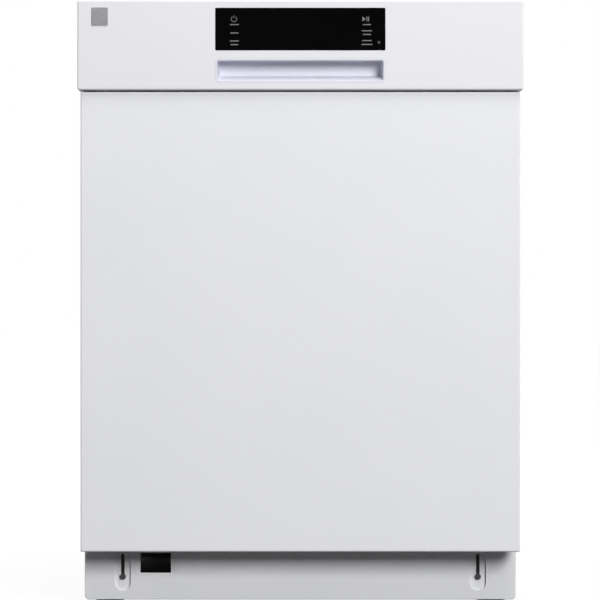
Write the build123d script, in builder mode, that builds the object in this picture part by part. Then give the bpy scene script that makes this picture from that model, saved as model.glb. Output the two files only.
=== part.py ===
from build123d import *
import os
from math import cos, radians

# A white front-control built-in dishwasher, as the pieces it comes apart into.
# Millimetres. +Z is up, the front faces -Y, and the origin is on the floor under the middle of the machine.

# Overall sizes
overall_width = 598.0
overall_height = 815.0
overall_depth = 605.0

# Sheet, walls and clearances
sheet = 0.8
wall = 2.5
running_gap = 0.3
shaft_gap = 0.05
weld_gap = 0.15

# Door and console
console_height = 120.6
console_overhang = 4.0
console_proud = 6.0
console_depth = 52.0
console_floor_depth = 26.0
console_edge = 2.4
console_corner = 3.0
seam = 2.0
door_bottom = 75.0
door_thickness = 56.0
panel_return = 34.0
panel_edge = 2.0
panel_foot = 20.0
liner_return = 30.0
liner_top_drop = 6.0
liner_corner = 6.0
dish_margin = 70.0
dish_depth = 8.0
dish_bottom = 190.0
dish_top = 690.0
dish_corner = 30.0
dish_slope = 30.0

# Control glass and its board
glass_width = 228.0
glass_height = 57.0
glass_thickness = 3.0
glass_drop = 39.0
glass_corner = 1.5
glass_ledge = 6.0
glass_frame_depth = 6.5
board_thickness = 1.6
display_width = 150.0
display_height = 30.0

# Handle cup and release paddle
cup_width = 223.0
cup_height = 27.5
cup_drop = 80.8
cup_depth = 26.0
cup_wall = 2.0
cup_side_slope = 3.0
cup_back_height = 19.0
cup_corner = 2.5
paddle_half = 60.0
paddle_reach = 17.0
paddle_setback = 6.0
paddle_pivot_radius = 2.5
paddle_pivot_rise = 3.0
paddle_gap = 1.0
paddle_lug = 5.0

# Hinge, straps and counterbalance springs
hinge_setback = 34.0
hinge_rise = 22.0
hinge_plate = 3.0
plate_gap = 1.0
hinge_pin_radius = 4.0
hinge_pin_head = 6.5
hinge_ear_radius = 11.0
hinge_ear_reach = 80.0
hinge_arm_height = 230.0
hinge_arm_flange = 18.0
lever = 14.14
lever_pin_radius = 3.0
strap_slot_play = 1.0
strap_slot_height = 13.0
strap_rim = 4.0
strap_height = 6.0
spring_radius = 6.5
spring_wire = 1.8
spring_turns = 10
spring_length = 84.0
spring_hook = 5.0

# Cabinet and base
cabinet_inset = 1.0
panel_fold = 12.0
panel_top_drop = 9.0
bead_depth = 2.0
side_bead_height = 520.0
side_bead_width = 110.0
side_bead_pitch = 190.0
base_inset = 6.0
base_wall = 3.0
base_bottom = 22.0
base_corner = 10.0
rim_height = 4.0
rim_inset = 1.0
rear_space = 14.5
access_margin = 66.0
access_sill = 12.0
access_lintel = 8.0
post_length = 36.0
post_width = 22.0
post_span = 240.0

# Feet
foot_side_inset = 26.0
foot_front_inset = 44.7
foot_rear_inset = 33.0
foot_pad_radius = 20.0
foot_pad_height = 9.0
foot_stem_radius = 5.0
foot_nut_radius = 8.5
foot_stem_top = 92.0
foot_boss_radius = 10.0
foot_boss_height = 42.0

# Tub, gasket and seals
side_space = 20.0
roof_drop = 25.0
tub_corner = 30.0
tub_back_space = 22.0
gasket_thickness = 4.2
gasket_width = 8.0
gasket_inset = 1.0
flange_inset = 2.0
ledge_step = 11.7
ledge_height = 12.7
ledge_width = 31.0
ledge_slope = 7.0
skirt_drop = 11.0
back_field_half = 190.0
lip_drop = 10.0
lip_rise = 9.0
lower_seal_height = 7.0
lower_seal_corner = 1.5
mat_thickness = 2.0
mat_drop = 330.0

# Toe kick
toe_kick_inset = 5.5
toe_kick_setback = 60.0
toe_kick_bottom = 5.0
toe_kick_gap = 4.0
toe_kick_thickness = 2.5
toe_kick_return = 6.0
toe_kick_corner = 6.0
slot_inset = 51.5
slot_width = 4.8
slot_bottom = 33.6
slot_top = 67.0
recess_width = 22.0
recess_bottom = 17.0
recess_depth = 4.0
screw_radius = 2.1
screw_head_radius = 4.2
screw_head_height = 1.8
screw_length = 14.0
window_inset = 96.6
window_width = 41.5
window_bottom = 41.4
window_lip = 4.0
window_lip_depth = 1.5

# Water parts under the tub
filter_x = 88.0
filter_y = -70.0
hub_y = 10.0
pump_level = 72.0
well_radius = 52.0
sump_wall = 3.0
sump_flange = 12.0
sump_depth = 66.0
sump_draft = 3.0
sump_inner_draft = 2.0
trough_height = 20.0
trough_radius = 18.0
tower_radius = 24.0
spigot_radius = 18.0
port_radius = 16.0
volute_radius = 40.0
volute_depth = 36.0
motor_radius = 36.0
motor_length = 94.0
outlet_rise = 15.0
heater_radius = 25.0
heater_length = 178.0
heater_level = 86.0
drain_x = -52.0
drain_level = 62.0
drain_head_radius = 24.0
drain_head_depth = 25.0
drain_motor_radius = 19.0
drain_motor_length = 50.0
drain_pipe_radius = 10.5
drain_pipe_bore = 8.0
port_collar = 2.2
inlet_inset = 88.0
inlet_level = 75.0
inlet_radius = 13.2
inlet_nut_radius = 17.8
inlet_body = 36.0
inlet_coil_radius = 15.0
inlet_coil_length = 30.0
box_inset = 78.0
box_width = 60.0
box_length = 58.0
box_height = 65.0
conduit_bore = 11.0
conduit_wall = 2.5
conduit_depth = 16.0
conduit_reach = 7.0

# Water parts in the tub
riser_width = 34.0
riser_thickness = 16.0
riser_bend = 24.0
riser_wall = 2.0
dock_radius = 11.0
dock_reach = 15.0
sprayer_radius = 32.0
sprayer_height = 13.0
sprayer_taper = 12.0
sprayer_jets = 8
sprayer_jet_ring = 19.0
filter_plate_radius = 95.0
filter_plate_thickness = 1.2
filter_radius = 40.0
filter_depth = 56.0
filter_collar = 4.0
filter_grip_height = 9.0
float_side_inset = 89.0
float_front_inset = 46.0
float_radius = 22.0
float_height = 20.0
float_stem_radius = 4.0
float_stem_length = 20.0
arm_thickness = 12.0
arm_hub_radius = 30.0
arm_tip_radius = 13.0
lower_arm_clearance = 46.0
upper_arm_clearance = 61.0
lower_arm_rise = 20.0
journal_radius = 9.0
journal_reach = 8.5
nozzle_count = 5
nozzle_radius = 1.6
air_break_y = 80.0
air_break_z = 300.0
air_break_length = 230.0
air_break_height = 210.0
air_break_thickness = 14.0
air_break_cells = 4
air_break_cell_pitch = 46.0
air_break_cell_width = 28.0
air_break_cell_height = 168.0
air_break_cell_corner = 12.0
vent_y = 60.0
vent_z = 380.0
vent_radius = 22.0
vent_cap_radius = 27.0
vent_cap_height = 6.0
vent_holes = 6
vent_hole_radius = 3.7
vent_hole_ring = 13.0

# Racks
wire = 4.4
tine = 3.4
wheel_radius = 18.0
wheel_width = 8.0
wheel_bore = 4.0
axle_head_radius = 6.0
carrier_thickness = 5.0
carrier_height = 52.0
carrier_length = 34.0
rack_floor_rise = 9.0
lower_rack_side = 24.0
lower_rack_front_space = 20.0
lower_rack_back_space = 28.8
lower_rack_height = 172.0
lower_rack_nose = 27.0
lower_rack_toe = 30.0
lower_tine_height = 105.0
lower_long_count = 9
lower_edge_space = 42.0
lower_cross_count = 9
lower_end_space = 28.0
lower_tine_rows = 5
upper_rack_side = 36.0
upper_rack_front_space = 24.0
upper_rack_back_space = 36.8
upper_rack_level = 446.0
upper_rack_height = 116.0
upper_tine_height = 62.0
upper_long_count = 9
upper_edge_space = 30.0
upper_cross_count = 9
upper_end_space = 21.0
rail_level = 540.0
rail_height = 32.0
rail_depth = 13.0
rail_sheet = 1.2
rail_gap = 0.5
rail_front_space = 10.0
rail_back_space = 42.8
hanger_length = 40.0
feed_pipe_radius = 10.0
shelf_level = 534.0
shelf_reach = 74.0
shelf_prongs = 6
shelf_rod_radius = 2.0
shelf_clip = 5.0

# Cutlery basket
basket_side_space = 72.0
basket_front_space = 146.0
basket_width = 110.0
basket_length = 190.0
basket_height = 118.0
basket_wall = 2.2
basket_taper = 2.0
basket_slot_width = 7.0
basket_slot_height = 62.0
basket_short_slots = 5
basket_long_slots = 11
basket_handle_rise = 34.0

# Detergent dispenser
dispenser_z = 465.0
dispenser_width = 168.0
dispenser_height = 128.0
dispenser_depth = 32.0
dispenser_proud = 5.0
dispenser_rim = 6.0
detergent_x = -38.0
detergent_width = 66.0
detergent_height = 64.0
detergent_depth = 24.0
lid_margin = 4.0
lid_thickness = 2.4
cap_x = 44.0
cap_radius = 19.0
cap_depth = 16.0

# Latch and countertop brackets
latch_half = 35.0
latch_depth = 40.0
latch_height = 13.0
strike_half = 10.0
strike_thickness = 2.5
strike_reach = 26.0
strike_rise = 12.0
strike_plate_half = 20.0
bracket_inset = 104.0
bracket_width = 36.0
bracket_thickness = 1.5
bracket_reach = 36.0
bracket_leg = 13.0
bracket_hole = 2.6

# Places that follow from the sizes above
front_y = -overall_depth / 2
door_half = overall_width / 2 - console_overhang
dish_half = door_half - dish_margin
door_face = front_y + console_proud
liner_face = door_face + door_thickness
console_bottom = overall_height - console_height
door_top = console_bottom - seam
hinge_y = door_face + hinge_setback
hinge_z = door_bottom + hinge_rise
cabinet_half = door_half - cabinet_inset
base_half = cabinet_half - base_inset
access_half = base_half - access_margin
bracket_x = cabinet_half - bracket_inset
ear_x = base_half
strap_x = ear_x - plate_gap - hinge_plate
arm_x = strap_x - plate_gap - hinge_plate
notch_half = arm_x - hinge_plate - 2 * plate_gap
notch_top = hinge_z + lever + strap_slot_height + 3 * strap_rim
liner_half = door_half - sheet - running_gap
liner_top = overall_height - liner_top_drop
liner_bottom = hinge_z + hinge_ear_radius - strap_rim
tub_front = liner_face + running_gap + gasket_thickness
tub_half = cabinet_half - side_space
tub_roof = overall_height - roof_drop
flange_top = overall_height - panel_top_drop
flange_half = cabinet_half - flange_inset
cabinet_back = overall_depth / 2 - rear_space + sheet
tub_back_y = cabinet_back - tub_back_space
open_liner_z = hinge_z + liner_face - hinge_y
ledge_level = open_liner_z + ledge_step
floor_level = ledge_level - ledge_height
floor_under = floor_level - sheet
flange_bottom = floor_level
toe_kick_width = overall_width - 2 * toe_kick_inset
slot_x = toe_kick_width / 2 - slot_inset
window_x = window_inset - toe_kick_width / 2
toe_face = door_face + toe_kick_setback
toe_kick_top = door_bottom - toe_kick_gap
window_top = toe_kick_top - toe_kick_thickness
lip_bottom = window_bottom - window_lip / 2
recess_back = toe_face + recess_depth + toe_kick_thickness
base_front = recess_back + running_gap
base_back = cabinet_back - sheet
base_top = hinge_z + hinge_ear_radius - 2 * strap_rim
base_floor = base_bottom + base_wall
base_mid = (base_front + base_back) / 2
base_depth = base_back - base_front
foot_x = base_half - foot_side_inset
foot_front_y = base_front + foot_front_inset
foot_rear_y = base_back - foot_rear_inset
inlet_x = inlet_inset - base_half
box_x = base_half - box_inset
rim_half = cabinet_half - rim_inset
rim_top = base_bottom + rim_height
rear_end = overall_depth / 2
axle_z = ledge_level + running_gap + wheel_radius
rack_floor = axle_z + rack_floor_rise
lower_rim = rack_floor + lower_rack_height
upper_rim = upper_rack_level + upper_rack_height
lower_arm_z = floor_level + lower_arm_rise
upper_feed_z = upper_rack_level - wire / 2 - running_gap - feed_pipe_radius
upper_arm_z = upper_feed_z - feed_pipe_radius - running_gap - arm_thickness
wire_step = wire + weld_gap
float_x = float_side_inset - tub_half
float_y = tub_front + float_front_inset
lower_arm_reach = hub_y - tub_front - lower_arm_clearance
upper_arm_reach = hub_y - tub_front - upper_arm_clearance
lower_rack_half = tub_half - lower_rack_side
lower_rack_front = tub_front + lower_rack_front_space
lower_rack_back = tub_back_y - lower_rack_back_space
lower_long_pitch = 2 * (lower_rack_half - lower_edge_space) / (lower_long_count - 1)
lower_floor_length = lower_rack_back - lower_rack_front - lower_rack_toe
lower_cross_pitch = (lower_floor_length - 2 * lower_end_space) / (lower_cross_count - 1)
upper_rack_half = tub_half - upper_rack_side
upper_rack_front = tub_front + upper_rack_front_space
upper_rack_back = tub_back_y - upper_rack_back_space
upper_long_pitch = 2 * (upper_rack_half - upper_edge_space) / (upper_long_count - 1)
upper_cross_pitch = (upper_rack_back - upper_rack_front - 2 * upper_end_space) / (upper_cross_count - 1)
basket_x = lower_rack_half - basket_side_space
basket_y = lower_rack_front + basket_front_space
rail_front = tub_front + rail_front_space
rail_back = tub_back_y - rail_back_space
rail_length = rail_back - rail_front


def front_plane(y):
    """Upright plane across the machine at depth y, with sketch axes X and Z, extruding towards the front."""
    return Plane.XZ.offset(-y)


def side_plane(x):
    """Upright plane along the machine at x, with sketch axes Y and Z, extruding towards +X."""
    return Plane.YZ.offset(x)


def level(z):
    """Flat plane at height z, with sketch axes X and Y, extruding upwards."""
    return Plane.XY.offset(z)


def span(x_limits, y_limits, z_limits, mode=Mode.ADD):
    """A block between two limits on each axis."""
    limits = (x_limits, y_limits, z_limits)
    with Locations(tuple((low + high) / 2 for low, high in limits)):
        Box(*[high - low for low, high in limits], mode=mode)


# Base tray: floor, walls, rim, foot bosses, posts under the tub, cradles and rear ports
foot_places = {
    "front_left_foot": (-foot_x, foot_front_y),
    "front_right_foot": (foot_x, foot_front_y),
    "rear_left_foot": (-foot_x, foot_rear_y),
    "rear_right_foot": (foot_x, foot_rear_y),
}
post_x = tub_half - ledge_width / 2
spring_front = hinge_y + hinge_ear_reach + hinge_ear_radius + 2 * plate_gap
anchor_y = spring_front + spring_length + 2 * spring_hook
strap_z = hinge_z + lever
with BuildPart() as base_tray:
    with BuildSketch(level(base_bottom)):
        with Locations((0, base_mid)):
            RectangleRounded(2 * base_half, base_depth, base_corner)
    extrude(amount=base_top - base_bottom)
    offset(amount=-base_wall, openings=base_tray.faces().sort_by(Axis.Z)[-1])
    with BuildSketch(level(base_bottom)):
        with Locations((0, base_mid)):
            RectangleRounded(2 * rim_half, base_depth, base_corner)
            RectangleRounded(2 * base_half - base_wall, base_depth - base_wall, base_corner, mode=Mode.SUBTRACT)
    extrude(amount=rim_height)
    span(
        (-access_half, access_half),
        (base_front - wall, base_front + base_wall + wall),
        (base_floor + access_sill, base_top - access_lintel),
        Mode.SUBTRACT,
    )
    with Locations(*[(x, y, base_bottom) for x, y in foot_places.values()]):
        Cylinder(foot_boss_radius, foot_boss_height, align=(Align.CENTER, Align.CENTER, Align.MIN))
    with BuildSketch(level(base_floor)):
        with Locations((0, base_mid)):
            with GridLocations(2 * post_x, post_span, 2, 2):
                RectangleRounded(post_width, post_length, wall)
    extrude(amount=ledge_level - sheet - base_floor)
    with BuildSketch(level(base_floor)):
        with Locations((filter_x, filter_y + well_radius + volute_depth + motor_length / 2)):
            Rectangle(motor_radius, motor_length / 3)
    extrude(amount=pump_level - motor_radius - running_gap - base_floor)
    with BuildSketch(level(base_floor)):
        with Locations((0, hub_y + tower_radius + heater_length / 2)):
            Rectangle(heater_radius, heater_length / 5)
    extrude(amount=heater_level - heater_radius - running_gap - base_floor)
    with BuildSketch(level(base_floor)):
        with Locations((drain_x, filter_y)):
            Rectangle(drain_head_depth, drain_head_radius)
    extrude(amount=drain_level - drain_head_radius - running_gap - base_floor)
    for side in (-1, 1):
        span(
            sorted((side * (base_half - 2 * base_wall), side * base_half)),
            (anchor_y, anchor_y + 2 * spring_hook),
            (base_top - base_wall, strap_z + spring_radius),
        )
    with BuildSketch(front_plane(base_back + wall)):
        with Locations((inlet_x, inlet_level)):
            Circle(inlet_radius + running_gap)
        with Locations((drain_x, drain_level)):
            Circle(drain_pipe_radius + running_gap)
        with Locations((box_x, base_floor + box_height / 2)):
            Circle(conduit_bore + conduit_wall + running_gap)
    extrude(amount=base_wall + 2 * wall, mode=Mode.SUBTRACT)
    with BuildSketch(front_plane(base_front + 2 * base_wall)):
        with Locations((-slot_x, slot_bottom + slot_width / 2), (slot_x, slot_bottom + slot_width / 2)):
            Circle(screw_radius + shaft_gap)
    extrude(amount=3 * base_wall, mode=Mode.SUBTRACT)
    with Locations(*[(x, y, base_bottom - wall) for x, y in foot_places.values()]):
        Cylinder(
            foot_stem_radius + running_gap,
            foot_boss_height + 2 * wall,
            align=(Align.CENTER, Align.CENTER, Align.MIN),
            mode=Mode.SUBTRACT,
        )

# Levelling feet, each a round pad on a threaded stem
feet = {}
for foot_name, (place_x, place_y) in foot_places.items():
    with BuildPart() as foot:
        with BuildSketch(level(0)):
            with Locations((place_x, place_y)):
                Circle(foot_pad_radius)
        extrude(amount=foot_pad_height)
        chamfer(foot.edges().group_by(Axis.Z)[-1], foot_pad_height / 3)
        with BuildSketch(level(foot_pad_height)):
            with Locations((place_x, place_y)):
                RegularPolygon(foot_nut_radius, 6)
        extrude(amount=foot_pad_height / 2)
        with BuildSketch(level(foot_pad_height)):
            with Locations((place_x, place_y)):
                Circle(foot_stem_radius)
        extrude(amount=foot_stem_top - foot_pad_height)
    feet[foot_name] = foot.part

# Side panels: one folded sheet each, with pressed stiffening fields
fold_y = tub_front + 1.5 * sheet
panel_mid_z = (rim_top + flange_top) / 2
with BuildPart() as right_side_panel:
    with BuildSketch(level(rim_top)):
        with BuildLine():
            Polyline(
                (cabinet_half - panel_fold, fold_y),
                (cabinet_half - sheet / 2, fold_y),
                (cabinet_half - sheet / 2, cabinet_back - sheet / 2),
                (cabinet_half - panel_fold, cabinet_back - sheet / 2),
            )
        trace(line_width=sheet)
    extrude(amount=flange_top - rim_top)
    span(
        (cabinet_half - 2 * panel_fold, cabinet_half - sheet),
        (fold_y - 2 * sheet, fold_y + 2 * sheet),
        (rim_top - sheet, flange_bottom),
        Mode.SUBTRACT,
    )
    span(
        (cabinet_half - 2 * sheet, cabinet_half + sheet),
        (fold_y - 2 * sheet, base_front),
        (rim_top - sheet, toe_kick_top + wall),
        Mode.SUBTRACT,
    )
    with BuildSketch(side_plane(cabinet_half)):
        with Locations((base_mid, panel_mid_z)):
            with GridLocations(side_bead_pitch, 1, 2, 1):
                RectangleRounded(side_bead_width, side_bead_height, side_bead_width / 3)
    extrude(amount=-bead_depth - sheet)
    with BuildSketch(side_plane(cabinet_half)):
        with Locations((base_mid, panel_mid_z)):
            with GridLocations(side_bead_pitch, 1, 2, 1):
                RectangleRounded(
                    side_bead_width - 2 * sheet, side_bead_height - 2 * sheet, side_bead_width / 3 - sheet
                )
    extrude(amount=-bead_depth, mode=Mode.SUBTRACT)

with BuildPart() as left_side_panel:
    mirror(right_side_panel.part, about=Plane.YZ)

# Tub wrap: sides and roof in one bent sheet, with a front flange for the gasket
wrap_bottom = floor_level + sheet
wrap_low = wrap_bottom - 3 * tub_corner
with BuildPart() as tub_wrap:
    with BuildSketch(front_plane(tub_back_y)):
        with Locations((0, (tub_roof + sheet + wrap_low) / 2)):
            RectangleRounded(2 * (tub_half + sheet), tub_roof + sheet - wrap_low, tub_corner + sheet)
        with Locations((0, (tub_roof + wrap_low) / 2)):
            RectangleRounded(2 * tub_half, tub_roof - wrap_low, tub_corner, mode=Mode.SUBTRACT)
        with Locations((0, (wrap_low + wrap_bottom) / 2)):
            Rectangle(3 * tub_half, wrap_bottom - wrap_low, mode=Mode.SUBTRACT)
    extrude(amount=tub_back_y - tub_front)
    with BuildSketch(front_plane(tub_front + sheet)):
        with Locations((0, (flange_top + flange_bottom) / 2)):
            Rectangle(2 * flange_half, flange_top - flange_bottom)
        with Locations((0, (tub_roof + wrap_low) / 2)):
            RectangleRounded(2 * tub_half, tub_roof - wrap_low, tub_corner, mode=Mode.SUBTRACT)
    extrude(amount=sheet)
    with BuildSketch(side_plane(-tub_half - 2 * sheet)):
        with Locations((vent_y, vent_z)):
            Circle(vent_radius)
    extrude(amount=3 * sheet, mode=Mode.SUBTRACT)

# Tub back with a pressed field
back_bottom = floor_level - lip_drop
with BuildPart() as tub_back:
    with BuildSketch(front_plane(tub_back_y + sheet)):
        with Locations((0, (tub_roof + sheet + back_bottom) / 2)):
            RectangleRounded(2 * (tub_half + sheet), tub_roof + sheet - back_bottom, tub_corner / 2)
    extrude(amount=sheet)
    with BuildSketch(front_plane(tub_back_y)):
        with Locations((0, (tub_roof + floor_level) / 2)):
            RectangleRounded(2 * back_field_half, side_bead_height, tub_corner)
    extrude(amount=-bead_depth - sheet)
    with BuildSketch(front_plane(tub_back_y)):
        with Locations((0, (tub_roof + floor_level) / 2)):
            RectangleRounded(
                2 * (back_field_half - sheet), side_bead_height - 2 * sheet, tub_corner - sheet
            )
    extrude(amount=-bead_depth, mode=Mode.SUBTRACT)

# Tub floor pan: side ledges for the rack wheels, a front lip, and holes for the sump, hub, float and riser
ledge_inner = tub_half - ledge_width
mid_sheet = sheet / 2
riser_y = tub_back_y - running_gap - riser_thickness / 2
with BuildPart() as tub_floor:
    with BuildSketch(front_plane(tub_back_y)):
        with BuildLine():
            Polyline(
                (-tub_half + mid_sheet, ledge_level - skirt_drop),
                (-tub_half + mid_sheet, ledge_level - mid_sheet),
                (-ledge_inner, ledge_level - mid_sheet),
                (-ledge_inner + ledge_slope, floor_level - mid_sheet),
                (ledge_inner - ledge_slope, floor_level - mid_sheet),
                (ledge_inner, ledge_level - mid_sheet),
                (tub_half - mid_sheet, ledge_level - mid_sheet),
                (tub_half - mid_sheet, ledge_level - skirt_drop),
            )
        trace(line_width=sheet)
    extrude(amount=tub_back_y - tub_front)
    span(
        (-tub_half + sheet, tub_half - sheet),
        (tub_front, tub_front + sheet),
        (floor_level - lip_drop, floor_level + lip_rise),
    )
    with BuildSketch(level(floor_under - sheet)):
        with Locations((filter_x, filter_y)):
            Circle(well_radius)
        with Locations((0, hub_y)):
            Circle(spigot_radius + running_gap)
        with Locations((float_x, float_y)):
            Circle(float_stem_radius + running_gap)
        with Locations((0, riser_y)):
            Rectangle(riser_width + 2 * running_gap, riser_thickness + 2 * running_gap)
    extrude(amount=3 * sheet, mode=Mode.SUBTRACT)

# Door gasket on the tub flange and the seal on the floor lip
gasket_in = tub_half + gasket_inset
gasket_roof = tub_roof + gasket_inset
with BuildPart() as door_gasket:
    with BuildSketch(front_plane(tub_front)):
        with Locations((0, (gasket_roof + gasket_width + wrap_low) / 2)):
            RectangleRounded(
                2 * (gasket_in + gasket_width), gasket_roof + gasket_width - wrap_low, tub_corner + gasket_width
            )
        with Locations((0, (gasket_roof + wrap_low) / 2)):
            RectangleRounded(2 * gasket_in, gasket_roof - wrap_low, tub_corner, mode=Mode.SUBTRACT)
        with Locations((0, (wrap_low + flange_bottom) / 2)):
            Rectangle(3 * tub_half, flange_bottom - wrap_low, mode=Mode.SUBTRACT)
    extrude(amount=gasket_thickness)

with BuildPart() as lower_seal:
    with BuildSketch(front_plane(tub_front)):
        with Locations((0, floor_level + lip_rise - lower_seal_height / 2)):
            RectangleRounded(2 * (tub_half - sheet), lower_seal_height, lower_seal_corner)
    extrude(amount=gasket_thickness)

# Sound mat laid over the roof and down both sides of the tub
mat_inner = tub_half + sheet
mat_roof = tub_roof + sheet
with BuildPart() as sound_mat:
    with BuildSketch(front_plane(tub_back_y - tub_corner)):
        with Locations((0, (mat_roof + mat_thickness + wrap_low) / 2)):
            RectangleRounded(
                2 * (mat_inner + mat_thickness), mat_roof + mat_thickness - wrap_low, tub_corner + mat_thickness
            )
        with Locations((0, (mat_roof + wrap_low) / 2)):
            RectangleRounded(2 * mat_inner, mat_roof - wrap_low, tub_corner + sheet, mode=Mode.SUBTRACT)
        with Locations((0, (wrap_low + mat_roof - mat_drop) / 2)):
            Rectangle(3 * tub_half, mat_roof - mat_drop - wrap_low, mode=Mode.SUBTRACT)
    extrude(amount=tub_back_y - tub_front - 2 * tub_corner)

# Brackets that screw to the underside of a countertop
with BuildPart() as mounting_brackets:
    with BuildSketch(side_plane(bracket_x - bracket_width / 2)):
        with BuildLine():
            Polyline(
                (tub_front + sheet + bracket_thickness / 2, flange_top - bracket_leg),
                (tub_front + sheet + bracket_thickness / 2, flange_top + bracket_thickness / 2),
                (tub_front + bracket_reach, flange_top + bracket_thickness / 2),
            )
        trace(line_width=bracket_thickness)
    extrude(amount=bracket_width)
    with BuildSketch(level(flange_top - bracket_thickness)):
        with Locations((bracket_x, tub_front + bracket_reach / 2)):
            Circle(bracket_hole)
    extrude(amount=3 * bracket_thickness, mode=Mode.SUBTRACT)
    mirror(about=Plane.YZ)

# Latch strike on the tub flange
strike_z = tub_roof + strike_rise
with BuildPart() as latch_strike:
    with BuildSketch(front_plane(tub_front)):
        with Locations((0, strike_z)):
            RectangleRounded(2 * strike_plate_half, 2 * strike_thickness, strike_thickness / 2)
    extrude(amount=strike_thickness / 2)
    with BuildSketch(level(strike_z - strike_thickness / 2)):
        with Locations((0, tub_front - strike_reach / 2)):
            Rectangle(2 * strike_half, strike_reach)
        with Locations((0, tub_front - strike_reach + strike_half)):
            RectangleRounded(strike_half, strike_half, strike_thickness, mode=Mode.SUBTRACT)
    extrude(amount=strike_thickness)

# Sump: filter bowl, feed tower with the lower arm's journal, and the ports of both pumps
sump_floor = floor_under - sump_depth
pump_front = filter_y + well_radius + sump_wall + port_radius / 2
tower_port = tower_radius + wall
with BuildPart() as sump:
    with BuildSketch(level(sump_floor)):
        with Locations((filter_x, filter_y), (0, hub_y)):
            Circle(trough_radius)
        make_hull()
    extrude(amount=trough_height)
    with BuildSketch(level(sump_floor)):
        with Locations((0, hub_y)):
            Circle(tower_radius)
    extrude(amount=sump_depth)
    with BuildSketch(level(sump_floor)):
        with Locations((filter_x, filter_y)):
            Circle(well_radius - sump_wall)
    extrude(amount=sump_depth, taper=-sump_draft)
    with BuildSketch(level(floor_under - sump_wall)):
        with Locations((filter_x, filter_y)):
            Circle(well_radius + sump_flange)
    extrude(amount=sump_wall)
    with BuildSketch(front_plane(pump_front)):
        with Locations((filter_x, pump_level)):
            Circle(port_radius)
    extrude(amount=pump_front - filter_y)
    with BuildSketch(side_plane(drain_x + drain_head_depth / 2)):
        with Locations((filter_y, drain_level)):
            Circle(port_radius / 2)
    extrude(amount=filter_x - drain_x - drain_head_depth / 2)
    with BuildSketch(side_plane(0)):
        with Locations((hub_y, pump_level + outlet_rise)):
            Circle(port_radius)
    extrude(amount=tower_port)
    with BuildSketch(front_plane(hub_y + tower_port)):
        with Locations((0, heater_level)):
            Circle(port_radius)
    extrude(amount=tower_port)
    with BuildSketch(level(sump_floor + sump_wall)):
        with Locations((filter_x, filter_y)):
            Circle(well_radius - 2 * sump_wall)
    extrude(amount=sump_depth, taper=-sump_inner_draft, mode=Mode.SUBTRACT)
    with BuildSketch(level(floor_under)):
        with Locations((0, hub_y)):
            Circle(spigot_radius)
    extrude(amount=lower_arm_z - running_gap - floor_under)
    with BuildSketch(level(floor_under)):
        with Locations((0, hub_y)):
            Circle(journal_radius)
    extrude(amount=lower_arm_z + journal_reach - floor_under)

# Circulation pump: volute, motor and outlet to the feed tower
with BuildPart() as circulation_pump:
    with BuildSketch(front_plane(pump_front + volute_depth)):
        with Locations((filter_x, pump_level)):
            Circle(volute_radius)
    extrude(amount=volute_depth)
    fillet(circulation_pump.edges().filter_by(GeomType.CIRCLE), wall)
    with BuildSketch(front_plane(pump_front + volute_depth + motor_length)):
        with Locations((filter_x, pump_level)):
            Circle(motor_radius)
    extrude(amount=motor_length)
    with BuildSketch(front_plane(pump_front + volute_depth + motor_length + 3 * wall)):
        with Locations((filter_x, pump_level)):
            Circle(motor_radius / 2)
    extrude(amount=3 * wall)
    with BuildSketch(side_plane(tower_port)):
        with Locations((hub_y, pump_level + outlet_rise)):
            Circle(port_radius - wall)
    extrude(amount=filter_x - tower_port)

# Water heater between the feed tower and the riser
heater_front = hub_y + tower_port
with BuildPart() as water_heater:
    with BuildSketch(front_plane(heater_front + heater_length)):
        with Locations((0, heater_level)):
            Circle(heater_radius)
    extrude(amount=heater_length)
    fillet(water_heater.edges().filter_by(GeomType.CIRCLE), heater_radius / 4)
    with BuildSketch(front_plane(heater_front + heater_length / 2 + 3 * wall)):
        with Locations((heater_radius, heater_level)):
            RectangleRounded(heater_radius, heater_radius, wall)
    extrude(amount=6 * wall)

# Drain pump and the pipe to the rear spigot
with BuildPart() as drain_pump:
    with BuildSketch(side_plane(drain_x - drain_head_depth / 2)):
        with Locations((filter_y, drain_level)):
            Circle(drain_head_radius)
    extrude(amount=drain_head_depth)
    with BuildSketch(side_plane(drain_x - drain_head_depth / 2 - drain_motor_length)):
        with Locations((filter_y, drain_level)):
            Circle(drain_motor_radius)
    extrude(amount=drain_motor_length)
    with BuildSketch(front_plane(filter_y + drain_head_radius + 2 * wall)):
        with Locations((drain_x, drain_level)):
            Circle(drain_pipe_radius)
    extrude(amount=drain_head_radius)

drain_pipe_start = filter_y + drain_head_radius + 2 * wall
with BuildPart() as drain_outlet:
    with BuildSketch(front_plane(rear_end)):
        with Locations((drain_x, drain_level)):
            Circle(drain_pipe_radius)
            Circle(drain_pipe_bore, mode=Mode.SUBTRACT)
    extrude(amount=rear_end - drain_pipe_start)
    with BuildSketch(front_plane(base_back + running_gap + port_collar)):
        with Locations((drain_x, drain_level)):
            Circle(drain_pipe_radius + port_collar)
            Circle(drain_pipe_radius, mode=Mode.SUBTRACT)
    extrude(amount=port_collar)

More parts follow.
